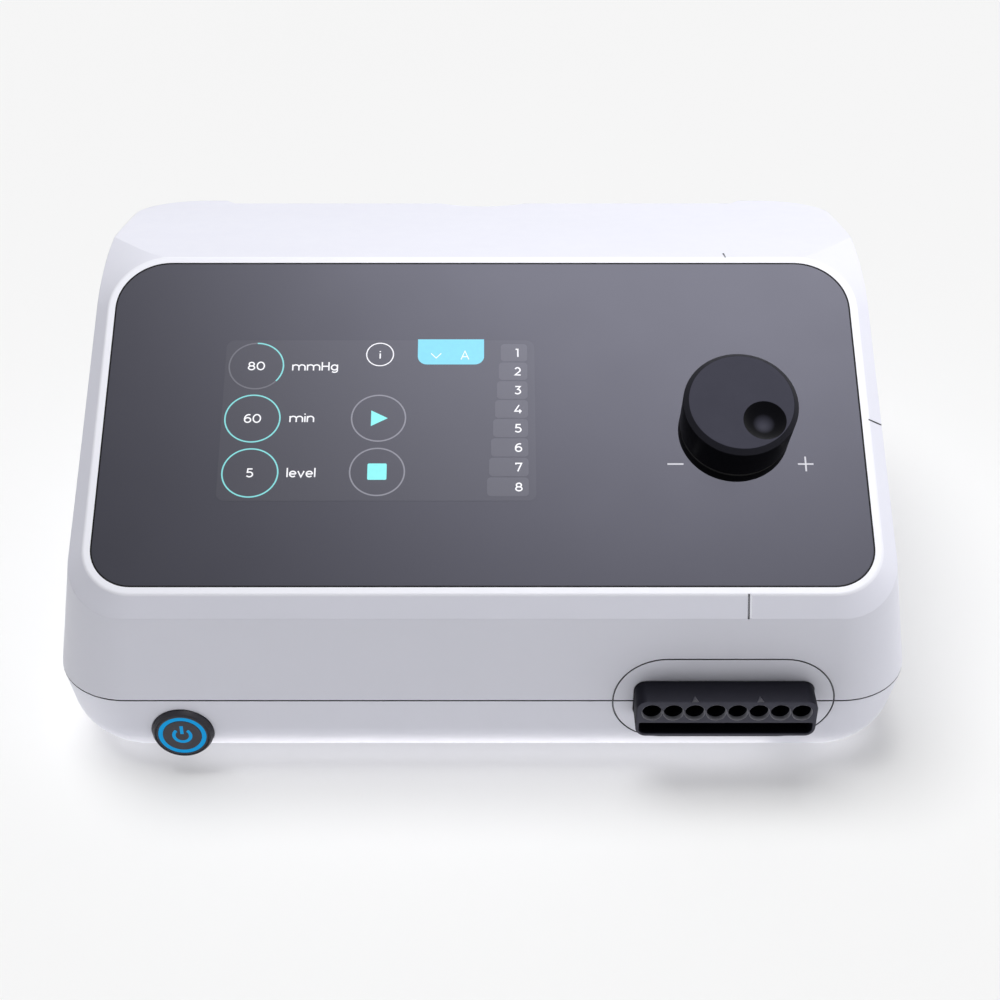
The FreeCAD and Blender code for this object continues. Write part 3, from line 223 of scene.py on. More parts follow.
class StageSettings(bpy.types.PropertyGroup):
    pale: share("Background", "Pale tone of floor and backdrop", 0.914)
    floor: share("Floor", "Reflectance of the floor", 0.9)
    table: share("Table", "Share of the floor's tone that is its own light", 0.31)
    bounce: number("Bounce", "How much stronger that light is on the pump than to the eye", 1.75)
    sky: number("Sky", "Strength of the light from all round", 0.18)
    lean: share("Lean", "How much more of it comes from behind than from the front", 0.5)
    key: number("Key", "Power of the softbox over the pump in watts", 16.0)
    key_size: length("Key size", "Width of that softbox", 1000)
    side: number("Side", "Power of the card of light at the right in watts", 1.0)
    sheen: number("Sheen", "Power of the light that only the glass shows, in watts", 23.0)
    glow: number("Glow", "Power per 100 square centimetres of the strips under the edge in watts", 0.036)
    corner_glow: share("Corner glow", "Strength of the strips under the corners beside the front one", 0.55)
    glow_tint: colour("Glow tint", "the strips' light", (1.0, 0.98, 0.92))
    glow_width: length("Glow width", "Width of the strips", 12)
    glow_inset: length("Glow inset", "How far in from the shell's widest outline the strips lie", 3)
    glow_height: length("Glow height", "Height of the strips over the table", 0.3)
    foot_corner: length("Foot corner", "Radius of the shell's corners seen from above", 45)
    sun: number("Floor sun", "Strength of the light that draws the shadow on the floor", 2.75)
    sun_angle: number("Sun angle", "Apparent width of that light in degrees", 40)
    focal: number("Lens", "Focal length in millimetres", 63.2)
    tilt: number("Tilt", "Camera's angle from straight down in degrees", 54)


SETTINGS = {
    "pump_case": CaseSettings,
    "pump_screen": ScreenSettings,
    "pump_knob": KnobSettings,
    "pump_button": ButtonSettings,
    "pump_socket": SocketSettings,
    "pump_stage": StageSettings,
}


# ---- outlines in a plane
def bow(x, y, across, upward, start, end, steps=24):
    """Points of an ellipse's arc, with its angles in degrees from the right, anticlockwise."""
    turns = [math.radians(start + (end - start) * k / steps) for k in range(steps + 1)]
    return [(x + across * math.cos(turn), y + upward * math.sin(turn)) for turn in turns]


def loop(x, y, across, upward, steps=96):
    return bow(x, y, across, upward, 0, 360, steps)[:-1]


def rounded(x0, y0, x1, y1, radii, steps=8):
    """Rectangle with round corners; the radii start at the lower left and go anticlockwise."""
    centres = [(x0, y0, 1, 1, 180), (x1, y0, -1, 1, 270), (x1, y1, -1, -1, 0), (x0, y1, 1, -1, 90)]
    points = []
    for (x, y, right, up, start), radius in zip(centres, radii):
        if radius:
            points += bow(x + right * radius, y + up * radius, radius, radius, start, start + 90, steps)
        else:
            points.append((x, y))
    return points


# ---- mesh builders, all into a bmesh
def skin(bm, rows, closed=False):
    """Faces between rows of points, one after the other.  A row of one point is a pole."""
    count = max(len(row) for row in rows)
    spans = list(zip(rows, rows[1:] + rows[:1]))
    for first, second in spans if closed else spans[:-1]:
        for k in range(count):
            after = (k + 1) % count
            corners = [first[k % len(first)], first[after % len(first)],
                       second[after % len(second)], second[k % len(second)]]
            bm.faces.new(list(dict.fromkeys(corners)))


def stacked(bm, outlines):
    """Closed body through outlines, each a list of points and a height, from the lowest up."""
    rows = [[bm.verts.new((x, y, z)) for x, y in points] for points, z in outlines]
    bm.faces.new(rows[0][::-1])
    bm.faces.new(rows[-1])
    skin(bm, rows)


def slab(bm, points, low, high):
    """Closed plate over an outline."""
    stacked(bm, ((points, low), (points, high)))


def ribbon(bm, points, width, low, high, closed=False):
    """Flat closed strip of even width along points."""
    places = [Vector(point) for point in points]
    count = len(places)
    rows = []
    for k, here in enumerate(places):
        before = places[k - 1] if closed or k else here
        after = places[(k + 1) % count] if closed or k < count - 1 else here
        ways = [way.normalized() for way in (here - before, after - here) if way.length > 0]
        along = sum(ways, Vector((0, 0))).normalized()
        mitre = 1 / max(0.5, along.dot(ways[0]))
        side = Vector((-along.y, along.x)) * width / 2 * mitre
        left, right = here + side, here - side
        rows.append([bm.verts.new((p.x, p.y, z)) for p, z in
                     ((left, low), (right, low), (right, high), (left, high))])
    skin(bm, rows, closed)
    if not closed:
        bm.faces.new(rows[0][::-1])
        bm.faces.new(rows[-1])


def ring_stack(bm, rings, segments=160, closed=False):
    """Skin through circles, each a centre x, y, a radius and a height.  A radius of 0 is a pole."""
    skin(bm, [[bm.verts.new((x + radius * math.cos(TURN * k / segments),
                             y + radius * math.sin(TURN * k / segments), z))
               for k in range(segments if radius else 1)] for x, y, radius, z in rings], closed)


def softened(corners, steps=5):
    """Profile of (radius, height, softness) corners, each turned into a short curve."""
    points = []
    for k, (radius, height, softness) in enumerate(corners):
        here = Vector((radius, height))
        if softness == 0:
            points.append(here)
            continue
        start = here + (Vector(corners[k - 1][:2]) - here).normalized() * softness
        end = here + (Vector(corners[(k + 1) % len(corners)][:2]) - here).normalized() * softness
        for step in range(steps + 1):
            t = step / steps
            points.append(start * (1 - t) ** 2 + here * 2 * t * (1 - t) + end * t ** 2)
    return [(0, 0, point.x, point.y) for point in points]


# ---- letters, drawn as strokes in hundredths of a capital's height
LETTER_GAP = 13


def hoop(*values):
    """Closed stroke of a letter."""
    return loop(*values) + ["closed"]


def glyph_strokes():
    """Width and strokes of each letter that is used."""
    arch = [bow(x, 40, 32, 27, 180, 0) for x in (38, 102)]
    return {
        "0": (86, [hoop(43, 50, 37, 45, 40)]),
        "1": (42, [[(0, 94), (24, 94), (24, 0)]]),
        "2": (74, [bow(35, 66, 27, 29, 155, -32) + [(7, 6), (68, 6)]]),
        "3": (72, [[(8, 94), (60, 94), (33, 60)] + bow(32, 32, 31, 27, 80, -148)]),
        "4": (84, [[(52, 98), (8, 25), (80, 25)], [(60, 46), (60, 0)]]),
        "5": (74, [[(62, 94), (16, 94), (12, 56)] + bow(33, 32, 32, 27, 112, -148)]),
        "6": (78, [hoop(40, 32, 31, 27, 32), bow(50, 44, 42, 50, 68, 190)]),
        "7": (72, [[(7, 80), (7, 94), (66, 94), (26, 0)]]),
        "8": (80, [hoop(40, 71, 26, 22, 28), hoop(40, 28, 32, 23, 32)]),
        "A": (84, [[(3, 0), (42, 97), (81, 0)], [(17, 31), (67, 31)]]),
        "H": (84, [[(7, 0), (7, 100)], [(77, 0), (77, 100)], [(7, 50), (77, 50)]]),
        "m": (140, [[(6, 70), (6, 0)], arch[0] + [(70, 0)], arch[1] + [(134, 0)]]),
        "n": (76, [[(6, 70), (6, 0)], arch[0] + [(70, 0)]]),
        "g": (76, [hoop(38, 36, 31, 30, 32), [(69, 70), (69, 0)] + bow(40, -2, 29, 20, 0, -148)]),
        "i": (12, [[(6, 69), (6, 0)], [(6, 86), (6, 99)]]),
        "l": (12, [[(6, 104), (6, 0)]]),
        "e": (74, [[(68, 36), (8, 36)], bow(38, 35, 31, 31, 2, 318)]),
        "v": (68, [[(3, 69), (34, 1), (65, 69)]]),
    }


def write(bm, text, x, y, height, stroke, low, high, centred=False):
    """Letters along the panel, from x on the left or with their middle at x."""
    glyphs = glyph_strokes()
    unit = height / 100
    run = sum(glyphs[letter][0] for letter in text) + LETTER_GAP * (len(text) - 1)
    place = x - run * unit / 2 if centred else x
    for letter in text:
        width, strokes = glyphs[letter]
        for points in strokes:
            closed = points[-1] == "closed"
            path = [(place + a * unit, y + b * unit) for a, b in points[:-1 if closed else None]]
            ribbon(bm, path, stroke, low, high, closed)
        place += (width + LETTER_GAP) * unit


# ---- pieces
def mesh_of(name, build):
    """Mesh that build makes in a bmesh, with its faces looking outwards."""
    bm = bmesh.new()
    build(bm)
    bmesh.ops.recalc_face_normals(bm, faces=bm.faces)
    mesh = bpy.data.meshes.new(name)
    bm.to_mesh(mesh)
    bm.free()
    return mesh


def placed(name, data):
    """New object of a mesh, lamp or camera in the scene."""
    made = bpy.data.objects.new(name, data)
    bpy.context.scene.collection.objects.link(made)
    return made


def piece(name, shape, place, finish, body, replaced=(), crease=32):
    """New object of a mesh, or of what a function builds, in its place and riding on a body."""
    mesh = shape if isinstance(shape, bpy.types.Mesh) else mesh_of(name, shape)
    mesh.name = name
    mesh.transform(place)
    mesh.shade_smooth()
    mesh.set_sharp_from_angle(angle=math.radians(crease))
    mesh.materials.clear()
    mesh.materials.append(finish)
    made = placed(name, mesh)
    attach(made, body)
    if replaced:
        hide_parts(*replaced)
    return made


def carved(block, cutters):
    """Mesh of a block with the cutters taken away."""
    scratch = [placed("scratch", mesh_of("scratch", build)) for build in (block, *cutters)]
    for cutter in scratch[1:]:
        cut = scratch[0].modifiers.new("cut", "BOOLEAN")
        cut.operation = "DIFFERENCE"
        cut.solver = "EXACT"
        cut.object = cutter
    graph = bpy.context.evaluated_depsgraph_get()
    result = bpy.data.meshes.new_from_object(scratch[0].evaluated_get(graph))
    for made in scratch:
        bpy.data.objects.remove(made)
    return result


# ---- finishes: a recipe gives the inputs of a material's shader
def feed(made, inputs):
    """Inputs of a shader node: a socket is linked, and a plain value is set."""
    for key, value in inputs.items():
        if isinstance(value, bpy.types.NodeSocket):
            made.id_data.links.new(value, made.inputs[key])
        else:
            made.inputs[key].default_value = value


def node(tree, kind, inputs, **options):
    made = tree.nodes.new("ShaderNode" + kind)
    for key, value in options.items():
        setattr(made, key, value)
    feed(made, inputs)
    return made


def own_place(tree):
    """Place on the surface in the object's own frame."""
    return node(tree, "TexCoord", {}).outputs["Object"]


def vector(tree, operation, first, second=(0, 0, 0), result="Vector"):
    return node(tree, "VectorMath", {0: first, 1: second}, operation=operation).outputs[result]


def graded(source, low, high, first=0.0, last=1.0):
    """Goes from first to last while the source goes from low to high."""
    return node(source.id_data, "MapRange", {"Value": source, "From Min": low, "From Max": high,
                                             "To Min": first, "To Max": last}).outputs["Result"]


def noise(tree, size, detail=3.0, roughness=0.55, stretch=(1, 1, 1)):
    """Noise with features of about that size in metres, in the object's own frame."""
    scaled = node(tree, "Mapping", {"Vector": own_place(tree),
                                    "Scale": tuple(1 / (size * s) for s in stretch)})
    return node(tree, "TexNoise", {"Vector": scaled.outputs["Vector"], "Scale": 1.0,
                                   "Detail": detail, "Roughness": roughness}).outputs["Fac"]


def around(source, middle, reach):
    """Value that strays from a middle with a noise."""
    return graded(source, 0.3, 0.7, middle - reach, middle + reach)


def between(source, first, second):
    """Colour that goes from the first to the second with a noise."""
    ramp = node(source.id_data, "ValToRGB", {"Fac": source})
    for element, place, tone in zip(ramp.color_ramp.elements, (0.3, 0.7), (first, second)):
        element.position = place
        element.color = (*tone, 1)
    return ramp.outputs["Color"]


def shaded(base, factor):
    return tuple(min(1.0, channel * factor) for channel in base)


def varied(source, base, low, high):
    """Colour that goes from a darker to a paler shade of a base with a noise."""
    return between(source, shaded(base, low), shaded(base, high))


def over(part, first, second):
    """Colour that changes from the first to the second with a part between 0 and 1."""
    return node(part.id_data, "Mix", {0: part, 6: first, 7: second}, data_type="RGBA").outputs[2]


def facing(tree, direction, low, high):
    """0 to 1 as the surface turns to look in a direction."""
    normal = node(tree, "NewGeometry", {}).outputs["True Normal"]
    return graded(vector(tree, "DOT_PRODUCT", normal, direction, "Value"), low, high)


def relief(height, depth, edge=0.0):
    """Normal of a bump of that depth in metres from a height between 0 and 1, over softened edges."""
    inputs = {"Height": height, "Distance": depth, "Strength": 1.0}
    if edge:
        inputs["Normal"] = node(height.id_data, "Bevel", {"Radius": edge}, samples=6).outputs["Normal"]
    return node(height.id_data, "Bump", inputs).outputs["Normal"]


def moulded(tree, base, rough, grain=0.5 * MM, depth=0.005 * MM, edge=0.3 * MM, shift=0.04, gloss=0.5):
    """Moulded plastic or rubber: fine grain, slow changes of tone and slightly uneven gloss."""
    return {"Base Color": varied(noise(tree, 40 * MM, 2.0), base, 1 - shift, 1 + shift),
            "Roughness": around(noise(tree, 6 * MM, 4.0), rough, 0.06),
            "Normal": relief(noise(tree, grain, 2.0), depth, edge),
            "Specular IOR Level": gloss}


def metal(tree, base, rough, brush=(1, 1, 1), grain=0.4 * MM, depth=0.004 * MM):
    """Metal whose brushing or cast skin follows the stretch of the noise."""
    streak = noise(tree, grain, 4.0, 0.6, brush)
    return {"Base Color": varied(streak, base, 0.88, 1.06),
            "Roughness": around(streak, rough, 0.07),
            "Normal": relief(streak, depth, 0.2 * MM), "Metallic": 1.0}


def striped(tree, first, second, pitch, rough, metallic):
    """Close parallel lines, as of laminated sheets or a winding's wires."""
    lines = node(tree, "TexWave", {
        "Vector": own_place(tree), "Scale": 1 / (20 * pitch), "Distortion": 0.6, "Detail": 2.0},
        bands_direction="Z", wave_profile="SIN").outputs["Fac"]
    return {"Base Color": between(lines, first, second),
            "Roughness": around(noise(tree, 3 * MM), rough, 0.08),
            "Normal": relief(lines, 0.03 * MM), "Metallic": metallic}


def circuit_board(tree):
    """Green solder mask with paler copper runs under it."""
    tracks = node(tree, "TexBrick", {
        "Vector": own_place(tree), "Scale": 60.0, "Mortar Size": 0.012, "Mortar Smooth": 0.2,
        "Color1": (0.008, 0.075, 0.03, 1), "Color2": (0.01, 0.085, 0.034, 1),
        "Mortar": (0.035, 0.19, 0.075, 1)}, offset=0.37, squash=0.6).outputs
    return {"Base Color": tracks["Color"], "Roughness": around(noise(tree, 2 * MM), 0.325, 0.075),
            "Normal": relief(tracks["Fac"], 0.02 * MM)}


def dark_glass(tree, tint, light=None, rough=0.38, gloss=0.55):
    """Dark glass with a soft cool sheen.  With a light it is a lit mark under the same gloss."""
    smear = noise(tree, 25 * MM, 3.0)
    inputs = {"Base Color": varied(smear, tint, 0.96, 1.04),
              "Roughness": around(smear, rough, 0.01),
              "Normal": relief(noise(tree, 60 * MM, 1.0), 0.004 * MM),
              "Specular IOR Level": gloss, "Specular Tint": COOL_GLOSS}
    if light:
        inputs["Emission Color"] = varied(noise(tree, 1.5 * MM), light, 0.97, 1.03)
        inputs["Emission Strength"] = 1.0
    return inputs


def satin_painted_light_by_facing(tree, side, face, direction, rough, gloss, low):
    """Satin black plastic with a hair-fine grain, painted paler where it faces one direction: painted light
    for the light such faces catch.
    """
    cloud = noise(tree, 9 * MM, 3.0)
    dark = varied(cloud, side, 0.9, 1.1)
    pale = varied(cloud, face, 0.96, 1.04)
    # painted light: the side colour blends to the paler face colour as the surface turns towards the
    # direction
    return {"Base Color": over(facing(tree, direction, low, 0.999), dark, pale),
            "Roughness": around(noise(tree, 2 * MM, 4.0), rough, 0.03),
            "Normal": relief(noise(tree, 0.25 * MM, 2.0), 0.002 * MM),
            "Specular IOR Level": gloss, "Specular Tint": COOL_GLOSS}


def knob_satin_painted_light(tree, look):
    """Black satin with painted light: a paler top and a paler spot in the finger dimple where the surface
    faces up the knob's axis, and a mid-tone bevel round the top, standing in for the light that falls there.
    """
    axis, origin = (find_joint("knob_turn")[key] for key in ("axis", "pos_m"))
    # painted light: the top and the dimple's spot turn paler as the surface faces up the axis
    inputs = satin_painted_light_by_facing(tree, look.side, look.top, axis, 0.4, 0.06, 0.92)
    across = vector(tree, "CROSS_PRODUCT", vector(tree, "SUBTRACT", own_place(tree), origin), axis)
    reach = vector(tree, "LENGTH", across, result="Value")
    outside = graded(reach, look.top_radius - 0.05 * MM, look.top_radius + 0.05 * MM)
    bevel = node(tree, "Math", {0: outside, 1: facing(tree, axis, 0.5, 0.65)}, operation="MULTIPLY")
    # painted highlight: the bevel round the top is given a mid tone for the light it catches
    inputs["Base Color"] = over(bevel.outputs[0], inputs["Base Color"], (*look.bevel, 1))
    return inputs


def case_white(tree, look):
    """White moulding with painted light and shade: the rim round the glass is painted paler for the light it
    faces, and painted shade darkens its joints, index marks and other narrow gaps.
    """
    inputs = moulded(tree, look.white, 0.42, look.grain, look.depth, look.edge, 0.008)
    panel = panel_place()
    normal = panel.to_3x3().col[2]
    level = panel.translation.dot(normal)
    height = vector(tree, "DOT_PRODUCT", own_place(tree), normal, "Value")
    # painted light: faces at the rim's height above the glass get the paler rim colour
    rim = graded(height, level - 0.5 * MM, level - 0.25 * MM)
    # painted shade: ambient occlusion darkens the moulding where gaps are narrow, as the shade that falls in
    # them
    sky = node(tree, "AmbientOcclusion", {"Distance": look.gap_shade_reach}, samples=8).outputs["AO"]
    inputs["Base Color"] = over(graded(sky, 0.42, 0.72), (*look.joint, 1),
                                over(rim, inputs["Base Color"], (*look.rim, 1)))
    return inputs


def finished(name, recipe, *values, **more):
    """Material whose shader takes the inputs that a recipe gives."""
    made = bpy.data.materials.new(name)
    made.use_nodes = True
    tree = made.node_tree
    feed(tree.nodes["Principled BSDF"], recipe(tree, *values, **more))
    return made


def slot_finish(scene, slot):
    """The finish of one of the record's material slots, made the first time that it is asked for."""
    name = "fine_" + slot
    if name in bpy.data.materials:
        return bpy.data.materials[name]
    case, screen, knob = scene.pump_case, scene.pump_screen, scene.pump_knob
    button, block = scene.pump_button, scene.pump_socket
    return finished(name, *{
        "case_white": (case_white, case),
        "plate_grey": (moulded, case.plate, 0.55, 0.6 * MM, 0.012 * MM),
        "steel": (metal, (0.62, 0.62, 0.64), 0.28),
        "sheet_steel": (metal, (0.55, 0.56, 0.58), 0.38, (8, 1, 1)),
        "laminated_steel": (striped, (0.1, 0.1, 0.11), (0.34, 0.34, 0.36), 0.5 * MM, 0.45, 0.9),
        "rubber_black": (moulded, (0.018, 0.018, 0.02), 0.75, 0.3 * MM, 0.02 * MM),
        "panel_glass": (dark_glass, screen.glass),
        "display_black": (moulded, (0.01, 0.01, 0.012), 0.3, 0.5 * MM, 0.005 * MM, 0.2 * MM),
        "knob_black": (knob_satin_painted_light, knob),
        "black_nylon": (moulded, (0.02, 0.02, 0.022), 0.5),
        "board_green": (circuit_board,),
        "button_grey": (moulded, button.bezel, 0.38, 0.3 * MM, 0.003 * MM, 0.2 * MM, 0.04, 0.35),
        "button_blue": (dark_glass, shaded(button.light, 0.1), button.light, 0.3, 0.12),
        # painted light: the block's faces that look to the front are painted paler than its top, for the
        # light they catch
        "socket_black": (satin_painted_light_by_facing, block.black, block.face, (0, -1, 0), 0.45, 0.12, 0.6),
        "manifold_alu": (metal, (0.6, 0.61, 0.63), 0.33, (1, 12, 1)),
        "cast_alu": (metal, (0.52, 0.53, 0.55), 0.5, (1, 1, 1), 0.9 * MM, 0.04 * MM),
        "copper": (striped, (0.42, 0.16, 0.08), (0.78, 0.36, 0.2), 0.5 * MM, 0.3, 1.0),
        "brass": (metal, (0.62, 0.45, 0.2), 0.3),
        "silicone": (moulded, (0.55, 0.56, 0.56), 0.4, 0.5 * MM, 0.005 * MM, 0.3 * MM, 0.03),
        "felt": (moulded, (0.62, 0.6, 0.55), 0.9, 0.5 * MM, 0.15 * MM, 0, 0.12),
        "inlet_black": (moulded, (0.014, 0.014, 0.015), 0.4),
    }[slot])


def dress_nodes(scene, *slots):
    """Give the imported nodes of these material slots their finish."""
    for part in frame["record"]["subparts"]:
        if part["material_slot"] in slots:
            materials = frame["nodes"][part["node"]].data.materials
            materials.clear()
            materials.append(slot_finish(scene, part["material_slot"]))


# ---- stage
def emptied(owner):
    """Node tree of a material or world, with nothing in it."""
    owner.use_nodes = True
    owner.node_tree.nodes.clear()
    return owner.node_tree


def seen_share(tree):
    """1 for what the camera sees directly, in gloss or through glass, and 0 for other light."""
    path = node(tree, "LightPath", {}).outputs
    total = path["Is Camera Ray"]
    for name in ("Is Glossy Ray", "Is Transmission Ray"):
        total = node(tree, "Math", {0: total, 1: path[name]}, operation="MAXIMUM").outputs[0]
    return total


def light_table(look):
    """Pale floor: a share of its tone is its own light, and the rest takes the shadows."""
    half = 4.0
    mesh = bpy.data.meshes.new("floor")
    corners = [(x * half, y * half, 0) for x, y in ((-1, -1), (1, -1), (1, 1), (-1, 1))]
    mesh.from_pydata(corners, [], [(0, 1, 2, 3)])
    made = placed("floor", mesh)
    pale = bpy.data.materials.new("floor_pale")
    mesh.materials.append(pale)
    tree = emptied(pale)
    tone = varied(noise(tree, 0.5, 2.0), (look.floor,) * 3, 0.99, 1)
    matt = node(tree, "BsdfDiffuse", {"Color": tone})
    own = node(tree, "Emission", {"Color": (look.pale,) * 3 + (1,),
                                  "Strength": graded(seen_share(tree), 0, 1, look.bounce, 1)})
    mix = node(tree, "MixShader", {0: look.table, 1: matt.outputs[0], 2: own.outputs[0]})
    node(tree, "OutputMaterial", {"Surface": mix.outputs[0]})
    return made


def backdrop(look):
    """World that lights a little more from behind than from the front, and looks pale where seen."""
    world = bpy.context.scene.world = bpy.data.worlds.new("backdrop")
    tree = emptied(world)
    way = node(tree, "SeparateXYZ", {0: node(tree, "TexCoord", {}).outputs["Generated"]})
    strength = graded(way.outputs["Y"], -1, 1, look.sky * (1 - look.lean), look.sky * (1 + look.lean))
    light = node(tree, "Background", {"Color": (1, 1, 1, 1), "Strength": strength})
    pale = node(tree, "Background", {"Color": (look.pale,) * 3 + (1,), "Strength": 1.0})
    mix = node(tree, "MixShader", {0: seen_share(tree), 1: light.outputs[0], 2: pale.outputs[0]})
    node(tree, "OutputWorld", {"Surface": mix.outputs[0]})


def group(name, members, state):
    made = bpy.data.collections.new(name)
    for member in members:
        made.objects.link(member)
    for entry in made.collection_objects:
        entry.light_linking.link_state = state
    return made


def lamp(light, energy, place, target, others, state, unblocked=()):
    """Put a light in the scene.  It lights only the others or all but them, and passes the unblocked."""
    light.energy = energy
    made = placed(light.name, light)
    made.location = place
    made.rotation_euler = (Vector(target) - Vector(place)).to_track_quat("-Z", "Y").to_euler()
    made.visible_camera = False
    made.light_linking.receiver_collection = group(light.name, others, state)
    if unblocked:
        made.light_linking.blocker_collection = group(light.name + "_passes", unblocked, "EXCLUDE")
    return made


def card(name, width, height, shape="RECTANGLE"):
    """Area light, not yet in the scene."""
    made = bpy.data.lights.new(name, "AREA")
    made.shape = shape
    made.size = width
    made.size_y = height
    return made


# ---- operators
class PUMP_OT_stage(bpy.types.Operator):
    """Floor, backdrop, lights and camera"""
    bl_idname = "pump.stage"
    bl_label = "Stage"
    middle = (0, 0, 0.08)        # what the lamps over the pump point at
    camera_place = Vector((0, -0.4425, 0.3602))        # from the middle of the glass's front edge
    camera_shift = (0.0174, -0.01)

    def execute(self, context):
        look = context.scene.pump_stage
        floor = light_table(look)
        backdrop(look)
        self.lights(context.scene, look, floor)
        self.foot_lights(look)
        self.camera(context.scene, look)
        context.scene.view_settings.view_transform = "Standard"
        return {"FINISHED"}

    def lights(self, scene, look, floor):
        """Softbox over the pump, card at its right, the glass's own sheen and the floor's sun."""
        glass = [frame["nodes"]["front_glass"]]
        glass += [made for made in scene.objects if made.name.startswith(("screen_", "panel_"))]
        knob = [bpy.data.objects["turn_knob"], bpy.data.objects["knob_ring"]]
        lamp(card("softbox", look.key_size, look.key_size, "DISK"), look.key, (0.3, 0.1, 1.29), self.middle,
             [floor, *glass], "EXCLUDE")
        lamp(card("side_card", 0.25, 0.6), look.side, (0.95, -0.1, 0.42), self.middle,
             [floor, *glass, *knob], "EXCLUDE")
        lamp(card("glass_sheen", 1.1, 1.1, "DISK"), look.sheen, (0.25, 0.33, 1.3), self.middle, glass,
             "INCLUDE", knob)
        sun = bpy.data.lights.new("floor_sun", "SUN")
        sun.angle = math.radians(look.sun_angle)
        lamp(sun, look.sun, (-0.22, 0.14, 1.0), (0, 0, 0), [floor], "INCLUDE")

    def foot_lights(self, look):
        """Strips of light on the table under the shell's front edge and front corners."""
        low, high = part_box("lower_shell")
        corner, width = look.foot_corner, look.glow_width
        reach = high.x - corner
        patch = 0.01        # a hundred square centimetres
        for name, x, degrees, long, strength in (
                ("left_foot_glow", -reach, 225, corner, look.corner_glow),
                ("front_foot_glow", 0, 270, 2 * reach, 1.0),
                ("right_foot_glow", reach, 315, corner, look.corner_glow)):
            turn = math.radians(degrees)
            way = Vector((math.cos(turn), math.sin(turn), 0))
            place = Vector((x, low.y + corner, look.glow_height)) + way * (corner - look.glow_inset)
            made = lamp(card(name, width, long), look.glow * strength * width * long / patch, place,
                        place + Vector((0, 0, 1)), [frame["nodes"]["lower_shell"]], "INCLUDE")
            made.rotation_euler = (math.pi, 0, turn)
            made.data.color = look.glow_tint

    def camera(self, scene, look):
        """Camera that looks down at the panel from the front."""
        lens = bpy.data.cameras.new("camera")
        lens.lens = look.focal
        lens.sensor_width = 36.0
        lens.shift_x, lens.shift_y = self.camera_shift
        scene.camera = placed("camera", lens)
        scene.camera.location = panel_place().translation + self.camera_place
        scene.camera.rotation_euler = (math.radians(look.tilt), 0, 0)


class PUMP_OT_case(bpy.types.Operator):
    """White shells, rear plate, feet and screws"""
    bl_idname = "pump.case"
    bl_label = "Case"

    def execute(self, context):
        dress_nodes(context.scene, "case_white", "plate_grey", "steel", "rubber_black")
        case = context.scene.pump_case
        slope = math.atan2(4.4, 7.0)        # the chamfer's drop and its run
        start = mm(87.0, -2.6, 0)        # the index mark's upper end on the chamfer
        place = panel_place() @ Matrix.Translation(start) @ Matrix.Rotation(slope, 4, "X")
        # painted light: the bead takes the rim's paler colour
        finish = finished("bead_white", moulded, case.rim, 0.4, case.grain, case.depth, 0, 0.008)
        piece("index_bead", lambda bm: self.bead(bm, case.bead / 2), place, finish, "root")
        return {"FINISHED"}

    def bead(self, bm, half):
        """Low bead down the chamfer, beside the front index mark."""
        outline = rounded(-half, -8.0 * MM, half, -0.3 * MM, [half * 0.6] * 4, 4)
        slab(bm, outline, -0.15 * MM, 0.12 * MM)


class PUMP_OT_inside(bpy.types.Operator):
    """Finishes of the compressor, valves, boards and mains inlet"""
    bl_idname = "pump.inside"
    bl_label = "Inside"

    def execute(self, context):
        dress_nodes(context.scene, "sheet_steel", "laminated_steel", "display_black", "black_nylon",
                    "board_green", "manifold_alu", "cast_alu", "copper", "brass", "silicone", "felt",
                    "inlet_black", "knob_black", "button_grey", "button_blue", "socket_black")
        return {"FINISHED"}


